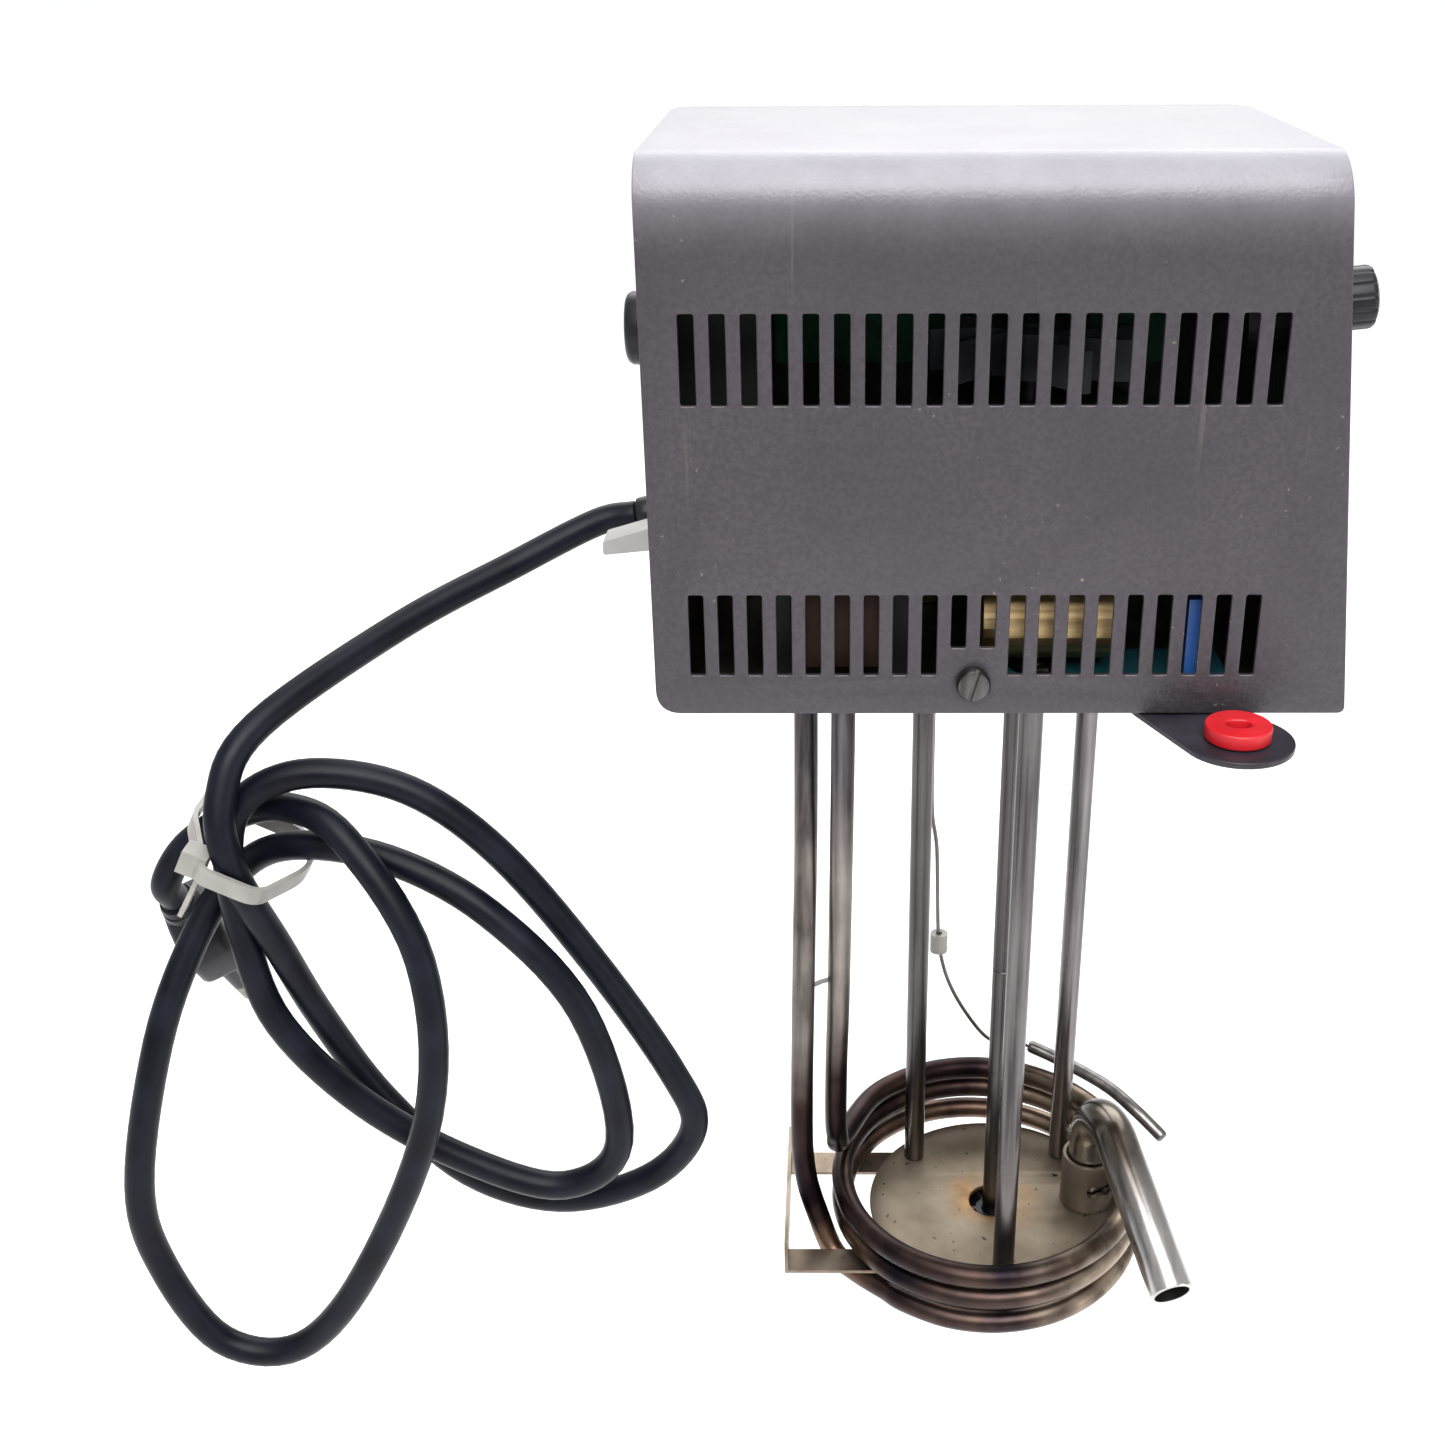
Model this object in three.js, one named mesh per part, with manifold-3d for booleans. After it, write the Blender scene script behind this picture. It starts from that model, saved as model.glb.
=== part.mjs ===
// An immersion heating circulator with its mains lead tied up, in millimetres, +Z up, front towards -Y.
// Origin: the underside of the base plate at the middle of the head, where a bath bridge carries it.
import * as THREE from 'three';
import { mergeVertices } from 'three/addons/utils/BufferGeometryUtils.js';
import Module from 'manifold-3d';

const wasm = await Module();
wasm.setup();

// ---- Driving dimensions -------------------------------------------------------------------------
const GAP = 0.3; // clearance kept between two pieces
const SHEET = 1.5; // hood and panel sheet
const DEG = Math.PI / 180;

const HEAD = { left: -71.7, right: 87.4, front: -51.4, back: 51.4, top: 123.8 };
const SIDE_SLOPE = 0.1038; // how far the right side leans inwards for each millimetre of height
const HOOD_BEND = 10.4;
const SLOT = { pitch: 6.6, count: 20, middle: 9.3535, width: 3.4 };
const SLOT_ROWS = [{ bottom: 72.5, top: 92.1 }, { bottom: 9.7, top: 29.2 }];
const SHORT_SLOTS = { first: 9, last: 10, bottom: 16.4 };

const PLATE_TOP = 3;
const INSIDE_FLOOR = PLATE_TOP + GAP;
const BASE = { left: -69.2, right: 84.5, half: 49.6 };
const PANEL = { half: 49.4, top: 121.8, corner: 9, left: -69.2, right: 84.9 };
const SCREW = { x: 1.3, z: 8, shank: 2, hole: 2.3, head: 3.9 };

const SHAFT = { x: 16.7, y: -4.05, radius: 3, bore: 3.4 };
const ROD_RADIUS = 3;
const ROD_HOLE = 3.3;
const RODS = { left: [-6.1, 16.4], right: [39.0, 17.8], front: [17.1, -34.8] };

const PUMP = { radius: 36.9, bottom: -184.8, top: -183.3, eye: 7, cupX: 19.5, cupRadius: 34, wall: 1.2 };
const CUP = { top: -185.1, bottom: -192 };
const IMPELLER = { radius: 24, bottom: -190.2, top: -186 };
const OUTLET = { x: 44.9, y: -2.8, tube: 6, wall: 0.8, bend: 13, turn: 115, reach: 44.4, heading: [0.25, -0.968] };
const SOCKET = { inner: 6.6, outer: 7.8, bottom: -183, top: -166.3 };

const HEATER_TUBE = 3.2;
const COIL = { x: 14.4, y: -4.05, radius: 42.8, top: -166, pitch: 7.4, start: 0.05, end: 2.85, perTurn: 20 };

const KNOB = { y: -26.4, z: 89.2, radius: 7, length: 12.4 };
const DIAL = { y: -9.4, z: 80.3, radius: 8.75 };
const SWITCH = { x: -64, y: -17, z: 33.5 };
const ARM = { pivot: [47.6, -44.8], pivotRadius: 9, tip: [60.1, -63.7], tipRadius: 12.8, top: -0.5, thickness: 1.5 };
const LEAD_RADIUS = 3.6;

// ---- Looks: colour, roughness, metalness --------------------------------------------------------
const LOOKS = {
  paint: [0xa3a1a8, 0.6, 0],
  steel: [0xb5b2ad, 0.3, 1],
  zinc: [0xa9a69c, 0.4, 1],
  pump: [0xaaa392, 0.5, 0.8],
  heater: [0x6b5a4b, 0.4, 0.8],
  brass: [0xb7965a, 0.35, 1],
  black: [0x17171a, 0.5, 0],
  rubber: [0x15151a, 0.55, 0],
  red: [0xd8202a, 0.5, 0],
  white: [0xe6e6e2, 0.5, 0],
  nylon: [0xd9d7d0, 0.5, 0],
  board: [0x1c6b4a, 0.5, 0],
  teal: [0x1f5e66, 0.5, 0],
  blue: [0x2a62b8, 0.4, 0],
  fan: [0x8a8c90, 0.6, 0],
  iron: [0x3b3a3a, 0.6, 0.6],
  winding: [0x6a3f22, 0.5, 0.3],
};

const model = new THREE.Group();

function add(name, geometry, look) {
  const [color, roughness, metalness] = LOOKS[look];
  const mesh = new THREE.Mesh(geometry, new THREE.MeshStandardMaterial({ color, roughness, metalness }));
  mesh.name = name;
  model.add(mesh);
}

// ---- Joining and cutting ------------------------------------------------------------------------
function toSolid(geometry) {
  const bare = geometry.clone();
  bare.deleteAttribute('normal');
  bare.deleteAttribute('uv');
  const merged = mergeVertices(bare, 1e-4);
  return new wasm.Manifold(new wasm.Mesh({
    numProp: 3,
    vertProperties: new Float32Array(merged.attributes.position.array),
    triVerts: new Uint32Array(merged.index.array),
  }));
}

function toGeometry(solid) {
  const mesh = solid.getMesh();
  const geometry = new THREE.BufferGeometry();
  geometry.setAttribute('position', new THREE.BufferAttribute(mesh.vertProperties, 3));
  geometry.setIndex(new THREE.BufferAttribute(mesh.triVerts, 1));
  geometry.computeVertexNormals();
  return geometry;
}

function combine(how, first, others) {
  return toGeometry(others.reduce((solid, piece) => solid[how](toSolid(piece)), toSolid(first)));
}

const cut = (first, ...others) => combine('subtract', first, others);
const join = (first, ...others) => combine('add', first, others);
const common = (first, ...others) => combine('intersect', first, others);

// ---- Simple solids ------------------------------------------------------------------------------
function box(x0, x1, y0, y1, z0, z1) {
  const block = new THREE.BoxGeometry(x1 - x0, y1 - y0, z1 - z0);
  return block.translate((x0 + x1) / 2, (y0 + y1) / 2, (z0 + z1) / 2);
}

// A straight bar between two points; a second radius makes it taper.
function bar(from, to, radius, sides = 16, endRadius = radius) {
  const start = new THREE.Vector3(...from);
  const along = new THREE.Vector3(...to).sub(start);
  const turn = new THREE.Quaternion().setFromUnitVectors(new THREE.Vector3(0, 1, 0), along.clone().normalize());
  const cylinder = new THREE.CylinderGeometry(endRadius, radius, along.length(), sides);
  return cylinder.applyQuaternion(turn).translate(...start.addScaledVector(along, 0.5).toArray());
}

function shaped(points, holes = []) {
  const shape = new THREE.Shape();
  shape.setFromPoints(points.map(([x, y]) => new THREE.Vector2(x, y)));
  shape.holes.push(...holes);
  return shape;
}

// An outline of [x, y, size of the rounded corner] points.
function rounded(points, holes = []) {
  const shape = new THREE.Shape();
  points.forEach(([x, y, size = 0], i) => {
    const corner = new THREE.Vector2(x, y);
    const before = new THREE.Vector2(...points.at(i - 1)).sub(corner).setLength(size).add(corner);
    const after = new THREE.Vector2(...points[(i + 1) % points.length]).sub(corner).setLength(size).add(corner);
    if (i === 0) shape.moveTo(before.x, before.y);
    else shape.lineTo(before.x, before.y);
    if (size > 0) shape.quadraticCurveTo(x, y, after.x, after.y);
  });
  shape.holes.push(...holes);
  return shape;
}

const round = (x, y, radius) => new THREE.Path().absarc(x, y, radius, 0, 2 * Math.PI, true);
const disc = (x, y, radius) => new THREE.Shape().absarc(x, y, radius, 0, 2 * Math.PI, false);

// A shape drawn in plan, raised from z0 to z1.
function slab(shape, z0, z1, curveSegments = 5) {
  const solid = new THREE.ExtrudeGeometry(shape, { depth: z1 - z0, bevelEnabled: false, curveSegments });
  return solid.translate(0, 0, z0);
}

// A shape drawn in X and Z, spread from y0 to y1.
function upright(shape, y0, y1, curveSegments = 5) {
  return slab(shape, 0, y1 - y0, curveSegments).rotateX(Math.PI / 2).translate(0, y1, 0);
}

// A shape drawn in Y and Z, spread from x0 to x1.
function sideways(shape, x0, x1, curveSegments = 5) {
  const turn = new THREE.Matrix4().makeBasis(
    new THREE.Vector3(0, 1, 0), new THREE.Vector3(0, 0, 1), new THREE.Vector3(1, 0, 0));
  return slab(shape, x0, x1, curveSegments).applyMatrix4(turn);
}

// A turned piece about the vertical line through (x, y), from [radius, z] points.
function turned(x, y, profile, sides = 24) {
  const lathe = new THREE.LatheGeometry(profile.map(([r, z]) => new THREE.Vector2(r, z)), sides);
  return lathe.rotateX(Math.PI / 2).translate(x, y, 0);
}

const ring = (x, y, inner, outer, z0, z1, sides) =>
  turned(x, y, [[inner, z0], [outer, z0], [outer, z1], [inner, z1], [inner, z0]], sides);

// A curve whose steps follow its points, so that close points give fine steps.
class Route extends THREE.CatmullRomCurve3 {
  getPointAt(u, target) {
    return this.getPoint(u, target);
  }

  getTangentAt(u, target) {
    return this.getTangent(u, target);
  }
}

function tube(points, radius, sides, steps = points.length - 1, holes = []) {
  const route = new Route(points.map((p) => new THREE.Vector3(...p)), false, 'catmullrom', 0.5);
  const corners = Array.from({ length: sides }, (_, i) => {
    const angle = (2 * Math.PI * i) / sides;
    return [radius * Math.cos(angle), radius * Math.sin(angle)];
  });
  return new THREE.ExtrudeGeometry(shaped(corners, holes), { steps, extrudePath: route, curveSegments: 5 });
}

// Puts a piece drawn about its own Z axis at a point, with that axis along a direction.
function aim(geometry, point, direction) {
  const turn = new THREE.Quaternion().setFromUnitVectors(
    new THREE.Vector3(0, 0, 1), new THREE.Vector3(...direction).normalize());
  return geometry.applyQuaternion(turn).translate(...point);
}

// ---- Head: hood, back, panels and base plate ----------------------------------------------------
const rightEdge = (z, offset = 0) => HEAD.right + offset - SIDE_SLOPE * z;

function lean(geometry) {
  return geometry.applyMatrix4(new THREE.Matrix4().set(1, 0, -SIDE_SLOPE, 0, 0, 1, 0, 0, 0, 0, 1, 0, 0, 0, 0, 1));
}

function slotCutters(y0, y1) {
  const cutters = [];
  for (const row of SLOT_ROWS) {
    for (let i = 0; i < SLOT.count; i += 1) {
      const x = (i - SLOT.middle) * SLOT.pitch;
      const short = row.bottom < SHORT_SLOTS.bottom && i >= SHORT_SLOTS.first && i <= SHORT_SLOTS.last;
      const bottom = short ? SHORT_SLOTS.bottom : row.bottom;
      cutters.push(box(x - SLOT.width / 2, x + SLOT.width / 2, y0, y1, bottom, row.top));
    }
  }
  return cutters;
}

function faceOutline(top) {
  return rounded([[HEAD.left, 0, 6], [rightEdge(0), 0, 2], [rightEdge(top), top], [HEAD.left, top]]);
}

function hoodCover() {
  const bendY = HEAD.front + HOOD_BEND;
  const bendZ = HEAD.top - HOOD_BEND;
  const profile = new THREE.Shape();
  profile.moveTo(HEAD.front, 0);
  profile.absarc(bendY, bendZ, HOOD_BEND, Math.PI, Math.PI / 2, true);
  profile.lineTo(HEAD.back, HEAD.top);
  profile.lineTo(HEAD.back, HEAD.top - SHEET);
  profile.absarc(bendY, bendZ, HOOD_BEND - SHEET, Math.PI / 2, Math.PI, false);
  profile.lineTo(HEAD.front + SHEET, 0);
  const bent = sideways(profile, HEAD.left, HEAD.right, 6);
  const front = upright(faceOutline(HEAD.top), HEAD.front - 1, HEAD.back + 1);
  const plan = slab(rounded([
    [HEAD.left, HEAD.front - 1], [HEAD.right + 1, HEAD.front - 1], [HEAD.right + 1, HEAD.front + HOOD_BEND],
    [rightEdge(HEAD.top), HEAD.front + HOOD_BEND], [rightEdge(HEAD.top), HEAD.back, 7],
    [HEAD.left, HEAD.back, 7],
  ]), -1, HEAD.top + 1);
  const hole = bar([SCREW.x, HEAD.front - 1, SCREW.z], [SCREW.x, HEAD.front + 3, SCREW.z], SCREW.hole);
  return cut(common(bent, front, plan), hole, ...slotCutters(HEAD.front - 1, HEAD.front + 3));
}

function backCover() {
  const sheet = upright(faceOutline(HEAD.top - SHEET - GAP), HEAD.back - SHEET, HEAD.back);
  const hole = bar([SCREW.x, HEAD.back - 3, SCREW.z], [SCREW.x, HEAD.back + 1, SCREW.z], SCREW.hole);
  return cut(sheet, hole);
}

// A slotted cheese-head screw whose head stands on the face at y, facing the given way along Y.
function faceScrew(y, facing) {
  const seat = y + facing * GAP;
  const outer = seat + facing * 2.6;
  const head = bar([SCREW.x, seat, SCREW.z], [SCREW.x, outer, SCREW.z], SCREW.head, 20);
  const shank = bar([SCREW.x, seat, SCREW.z], [SCREW.x, seat - facing * 6, SCREW.z], SCREW.shank, 12);
  const slot = box(-0.6, 0.6, -1.2, 1.2, -5, 5).rotateY(15 * DEG).translate(SCREW.x, outer, SCREW.z);
  return cut(join(head, shank.translate(0, facing * 0.1, 0)), slot);
}

function basePlate() {
  const holes = [
    round(SHAFT.x, SHAFT.y, 5.3),
    round(-28.2, -5.7, 4),
    round(-38.1, 2, 4),
    round(-3, 22.6, 1.5),
    round(...ARM.pivot, SCREW.hole),
    ...Object.values(RODS).map(([x, y]) => round(x, y, ROD_HOLE)),
  ];
  const plate = slab(rounded([
    [BASE.left, -BASE.half], [BASE.right, -BASE.half], [BASE.right, BASE.half], [BASE.left, BASE.half],
  ], holes), 0, PLATE_TOP);
  const lugs = [-1, 1].flatMap((side) => {
    const inner = side * (BASE.half - 2);
    const outer = side * BASE.half;
    return [
      box(-6, 8, Math.min(inner, outer), Math.max(inner, outer), PLATE_TOP - 1, 13),
      bar([SCREW.x, inner - side, SCREW.z], [SCREW.x, outer + side, SCREW.z], SCREW.hole, 12),
    ];
  });
  return cut(join(plate, lugs[0], lugs[2]), lugs[1], lugs[3]);
}

function panelOutline(holes) {
  return rounded([
    [-PANEL.half, INSIDE_FLOOR], [PANEL.half, INSIDE_FLOOR],
    [PANEL.half, PANEL.top], [-PANEL.half, PANEL.top, PANEL.corner],
  ], holes);
}

function addHead() {
  add('hood_cover', hoodCover(), 'paint');
  add('back_cover', backCover(), 'paint');
  add('hood_screw', faceScrew(HEAD.front, -1), 'steel');
  add('back_screw', faceScrew(HEAD.back, 1), 'steel');
  add('base_plate', basePlate(), 'zinc');
  const rockerHole = shaped([[-22.6, 25.5], [-11.4, 25.5], [-11.4, 42], [-22.6, 42]]);
  const leftHoles = [rockerHole, round(11.3, 29.6, 6), round(DIAL.y, DIAL.z, 3)];
  add('left_panel', sideways(panelOutline(leftHoles), PANEL.left, PANEL.left + SHEET, 8), 'zinc');
  const right = sideways(panelOutline([round(KNOB.y, KNOB.z, 3.6)]), PANEL.right - SHEET, PANEL.right);
  add('right_panel', lean(right), 'zinc');
}

// ---- Controls -----------------------------------------------------------------------------------
const KNOB_AXIS = [1, 0, SIDE_SLOPE];
const knobSeat = [PANEL.right - SIDE_SLOPE * KNOB.z, KNOB.y, KNOB.z];

function controlKnob() {
  const ribs = 24;
  const outline = Array.from({ length: ribs * 2 }, (_, i) => {
    const radius = i % 2 ? KNOB.radius - 0.35 : KNOB.radius;
    const angle = (Math.PI * i) / ribs;
    return [radius * Math.cos(angle), radius * Math.sin(angle)];
  });
  const bore = slab(disc(0, 0, 3.3), 0, 9.8);
  const recess = slab(disc(0, 0, 5.9), KNOB.length - 0.4, KNOB.length + 2);
  return aim(cut(slab(shaped(outline), 0.8, 0.8 + KNOB.length), bore, recess), knobSeat, KNOB_AXIS);
}

function addKnob() {
  add('control_knob', controlKnob(), 'black');
  const face = KNOB.length - 0.1;
  const cap = turned(0, 0, [[0, face], [5.5, face], [5.5, face + 1.1], [3.2, face + 1.6], [0, face + 1.8]]);
  add('knob_cap', aim(cap, knobSeat, KNOB_AXIS), 'fan');
  const inside = -SHEET - GAP;
  const pot = [[0, inside - 14], [10, inside - 14], [10, inside], [3, inside], [3, 9.4], [0, 9.4]];
  add('control_pot', aim(turned(0, 0, pot), knobSeat, KNOB_AXIS), 'iron');
}

function addDial() {
  const out = PANEL.left;
  const profile = [[0, -2.2], [2.5, -2.2], [2.5, GAP], [DIAL.radius, GAP], [DIAL.radius - 0.4, 8.6],
    [DIAL.radius - 1.6, 9.9], [0, 9.9]];
  add('limit_dial', aim(turned(0, 0, profile, 24), [out, DIAL.y, DIAL.z], [-1, 0, 0]), 'black');
  const shaftHole = bar([out - 1, DIAL.y, DIAL.z], [out + 6, DIAL.y, DIAL.z], 3);
  add('thermostat_body', cut(box(out + SHEET + GAP, -45, -26, 8, 65, 95), shaftHole), 'iron');
}

function addSwitch() {
  const { x, y, z } = SWITCH;
  const hub = upright(disc(x, z, 3.8), y - 4.5, y + 4.5);
  const blade = upright(rounded([
    [x - 1, z + 3.6], [-71, z + 2.6], [-86.2, 31.6, 0.6], [-86.2, 28.3, 0.8], [-75.2, 29.4], [x - 1, z - 3.4],
  ]), y - 4.5, y + 4.5);
  add('switch_paddle', join(hub, blade), 'white');
  const back = x + 4.2;
  const pocket = box(-80, back, y - 5, y + 5, z - 9, z + 10);
  add('switch_body', cut(box(PANEL.left + SHEET + GAP, -49, y - 6, y + 6, z - 11, z + 11.5), pocket), 'black');
}

// ---- Rods, drive and pump -----------------------------------------------------------------------
const hexagon = (acrossFlats, x, y) => Array.from({ length: 6 }, (_, i) => {
  const angle = (Math.PI * i) / 3;
  const radius = acrossFlats / Math.sqrt(3);
  return [x + radius * Math.cos(angle), y + radius * Math.sin(angle)];
});

function nut(x, y, bore, z0, z1) {
  return slab(shaped(hexagon(10, x, y), [round(x, y, bore)]), z0, z1);
}

function addRods() {
  for (const [side, [x, y]] of Object.entries(RODS)) {
    add(`rod_${side}`, bar([x, y, PUMP.top + GAP], [x, y, 6.7], ROD_RADIUS), 'steel');
    add(`rod_nut_${side}`, nut(x, y, ROD_HOLE, INSIDE_FLOOR, INSIDE_FLOOR + 3), 'steel');
  }
}

function coolingFan() {
  const { x, y } = SHAFT;
  const blades = Array.from({ length: 9 }, (_, i) => {
    const blade = new THREE.Shape();
    blade.moveTo(6, -0.9);
    blade.quadraticCurveTo(15, -1.2, 24, 6);
    blade.lineTo(23.2, 7.4);
    blade.quadraticCurveTo(14.5, 0.8, 6, 0.9);
    return slab(blade, 68.6, 78.4, 4).rotateZ((2 * Math.PI * i) / 9).translate(x, y, 0);
  });
  const hub = ring(x, y, SHAFT.radius + GAP, 8, 68, 79, 20);
  return join(hub, ...blades);
}

function impeller() {
  const { x, y } = SHAFT;
  const hubTop = IMPELLER.top;
  const disk = ring(x, y, SHAFT.radius + GAP, IMPELLER.radius, IMPELLER.bottom, IMPELLER.bottom + 1.2, 32);
  const hub = ring(x, y, SHAFT.radius + GAP, 5, IMPELLER.bottom, hubTop, 16);
  const vanes = Array.from({ length: 6 }, (_, i) => {
    const vane = box(4.6, IMPELLER.radius - 1, -0.6, 0.6, IMPELLER.bottom + 1, hubTop);
    return vane.rotateZ((Math.PI * i) / 3).translate(x, y, 0);
  });
  return join(disk, hub, ...vanes);
}

function addDrive() {
  const { x, y } = SHAFT;
  add('pump_shaft', bar([x, y, IMPELLER.bottom], [x, y, 78.6], SHAFT.radius), 'steel');
  add('cooling_fan', coolingFan(), 'fan');
  add('impeller', impeller(), 'black');
  add('motor_mount', ring(x, y, 12, 15, INSIDE_FLOOR, 29.7, 24), 'zinc');
  add('motor', ring(x, y, SHAFT.bore, 25, 30, 62, 32), 'iron');
  const flange = [[5, INSIDE_FLOOR], [6.6, INSIDE_FLOOR], [6.6, INSIDE_FLOOR + 1], [5, INSIDE_FLOOR + 1]];
  const bush = [[SHAFT.bore, GAP], [5, GAP], ...flange, [5, 6], [SHAFT.bore, 6], [SHAFT.bore, GAP]];
  add('shaft_bush', turned(x, y, bush), 'brass');
}

function outletSocket() {
  const { x, y } = OUTLET;
  const wall = ring(x, y, SOCKET.inner, SOCKET.outer, SOCKET.bottom, SOCKET.top, 28);
  const sector = new THREE.Shape();
  const [from, to] = [-85 * DEG, -30 * DEG];
  sector.absarc(0, 0, SOCKET.outer + 1, from, to, false);
  sector.absarc(0, 0, SOCKET.inner - 1, to, from, true);
  const slot = slab(sector, -176.3, -173.3, 6).translate(x, y, 0);
  const end = [x + 10 * Math.cos(from), y + 10 * Math.sin(from), -174.8];
  return cut(wall, slot, bar([x, y, -174.8], end, 1.9, 12));
}

function elbowRoute() {
  const { x, y, bend, turn, reach, heading } = OUTLET;
  const foot = -181;
  const springing = -160.4;
  const point = (out, z) => [x + heading[0] * out, y + heading[1] * out, z];
  const points = [point(0, foot), point(0, (foot + springing) / 2)];
  const steps = 8;
  for (let i = 0; i <= steps; i += 1) {
    const angle = (turn * DEG * i) / steps;
    points.push(point(bend * (1 - Math.cos(angle)), springing + bend * Math.sin(angle)));
  }
  const [out, z] = [bend * (1 - Math.cos(turn * DEG)), springing + bend * Math.sin(turn * DEG)];
  for (const share of [0.5, 1]) {
    const run = reach * share;
    points.push(point(out + run * Math.sin(turn * DEG), z + run * Math.cos(turn * DEG)));
  }
  return points;
}

function addPump() {
  const { x, y } = SHAFT;
  const holes = [round(x, y, PUMP.eye), round(36.9, 7.7, 0.75), round(OUTLET.x, OUTLET.y, 5.5)];
  const plate = disc(x, y, PUMP.radius);
  plate.holes.push(...holes);
  add('pump_plate', slab(plate, PUMP.bottom, PUMP.top, 14), 'pump');
  const inner = PUMP.cupRadius - PUMP.wall;
  const floor = CUP.bottom + PUMP.wall;
  const cup = [[0, CUP.bottom], [PUMP.cupRadius, CUP.bottom], [PUMP.cupRadius, CUP.top], [inner, CUP.top],
    [inner, floor], [0, floor]];
  add('pump_housing', turned(PUMP.cupX, y, cup, 32), 'pump');
  add('outlet_socket', outletSocket(), 'pump');
  const bore = OUTLET.tube - OUTLET.wall;
  const route = elbowRoute();
  add('outlet_elbow', tube(route, OUTLET.tube, 16, route.length - 1, [round(0, 0, bore)]), 'steel');
  const [cosPin, sinPin] = [Math.cos(-57 * DEG), Math.sin(-57 * DEG)];
  const pin = [6.4, 9].map((r) => [OUTLET.x + r * cosPin, OUTLET.y + r * sinPin, -174.8]);
  add('elbow_pin', bar(...pin, 1.1, 10), 'steel');
}

// ---- Heater, guard and temperature probe --------------------------------------------------------
function coilPoint(turns) {
  const angle = Math.PI - 2 * Math.PI * turns;
  const spread = 1.2 * Math.min(Math.max((turns - 1.9) / 0.4, 0), 1);
  const z = COIL.top - COIL.pitch * turns - spread + 1.9 * Math.sin(angle);
  return [COIL.x + COIL.radius * Math.cos(angle), COIL.y + COIL.radius * Math.sin(angle), z];
}

function heaterRoute() {
  const down = [[-28.2, -5.7, 14], [-28.3, -5.7, -24.4], [-28.8, -5.7, -61.8], [-29.6, -4.7, -110.9],
    [-30.2, -4.7, -131.6], [-30.4, -4.6, -152], [-29.9, -3.3, -159.5], [-29, 0.8, -164.2]];
  const coil = [];
  const steps = Math.round((COIL.end - COIL.start) * COIL.perTurn);
  for (let i = 0; i <= steps; i += 1) {
    coil.push(coilPoint(COIL.start + ((COIL.end - COIL.start) * i) / steps));
  }
  const up = [[-16.3, -33, -190.6], [-24.6, -26, -190.4], [-31, -20, -188.6], [-35.8, -15, -178.4],
    [-38.7, -12, -169.8], [-39.9, -10.5, -161.1], [-40.2, -10.5, -152], [-40, -10, -132.9],
    [-39.5, -8.5, -108.3], [-39, -5.7, -85.5], [-38.5, -2.8, -63.4], [-38.2, 1.9, -27.9], [-38, 2, 14]];
  return [...down, ...coil.slice(1), ...up];
}

function addHeater() {
  add('heater_coil', tube(heaterRoute(), HEATER_TUBE, 8), 'heater');
  add('heater_gland_inner', nut(-28.2, -5.7, HEATER_TUBE + 0.4, INSIDE_FLOOR, 7), 'brass');
  add('heater_gland_outer', nut(-38.1, 2, HEATER_TUBE + 0.4, INSIDE_FLOOR, 7), 'brass');
  add('heater_link', bar([-35.7, -7.6, -103.6], [-33, -5.6, -103.6], 0.6, 8), 'steel');
}

function addGuard() {
  const low = -186.1;
  const high = -185.1;
  const back = box(-45.1, -11.6, 10.9, 20.3, low, high);
  const front = box(-45.1, -9.8, -31.8, -23, low, high);
  const flange = box(-45.1, -44.1, -31.8, 20.3, low, -175);
  add('guard_bracket', join(flange, back, front), 'zinc');
}

function addProbe() {
  const line = [[-3, 22.6, 12], [-3, 22.6, -15], [-3, 22.6, -40.8], [-2.7, 23.6, -64.8], [-1, 23.6, -78.2],
    [0, 23.6, -105.4], [1.8, 24, -117.9], [5.8, 25.5, -129.6], [12.5, 28.3, -142.5], [17.6, 31.1, -149.8],
    [23.8, 35.4, -155.2], [30.2, 40.1, -158.5]];
  add('capillary', tube(line, 0.6, 8, 16), 'steel');
  const bulb = [[30.8, 40.5, -158.8], [40.5, 35.8, -161.1], [53.6, 26.4, -163.7], [61.8, 17.9, -166.7],
    [70, 11.3, -172.4]];
  add('thermostat_bulb', tube(bulb, 2, 10, 6), 'steel');
  add('capillary_tie', ring(0.3, 23.7, 1, 2.6, -112.5, -106.5, 12), 'nylon');
}

// ---- Swivel arm with its red bush ---------------------------------------------------------------
function teardrop(holes) {
  const [px, py] = ARM.pivot;
  const [tx, ty] = ARM.tip;
  const along = Math.atan2(ty - py, tx - px);
  const flank = Math.acos((ARM.pivotRadius - ARM.tipRadius) / Math.hypot(tx - px, ty - py));
  const shape = new THREE.Shape();
  shape.absarc(px, py, ARM.pivotRadius, along + flank, along - flank + 2 * Math.PI, false);
  shape.absarc(tx, ty, ARM.tipRadius, along - flank, along + flank, false);
  shape.holes.push(...holes);
  return shape;
}

function addArm() {
  const bottom = ARM.top - ARM.thickness;
  const pivotHole = round(...ARM.pivot, SCREW.hole);
  add('swivel_arm', slab(teardrop([pivotHole]), bottom, ARM.top, 8), 'black');
  const [tx, ty] = ARM.tip;
  const bush = disc(tx, ty, 7.5);
  const slot = new THREE.Path();
  slot.absarc(tx + 0.8, ty, 2.1, Math.PI / 2, -Math.PI / 2, true);
  slot.absarc(tx - 0.8, ty, 2.1, -Math.PI / 2, -3 * Math.PI / 2, true);
  bush.holes.push(slot);
  add('red_bush', slab(bush, ARM.top + GAP, 3.2, 8), 'red');
  const [px, py] = ARM.pivot;
  const head = bottom - GAP;
  const profile = [[0, head - 2.2], [3.9, head - 2.2], [3.9, head], [SCREW.shank, head], [SCREW.shank, 2.7], [0, 2.7]];
  add('arm_pivot', turned(px, py, profile), 'steel');
}

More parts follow.
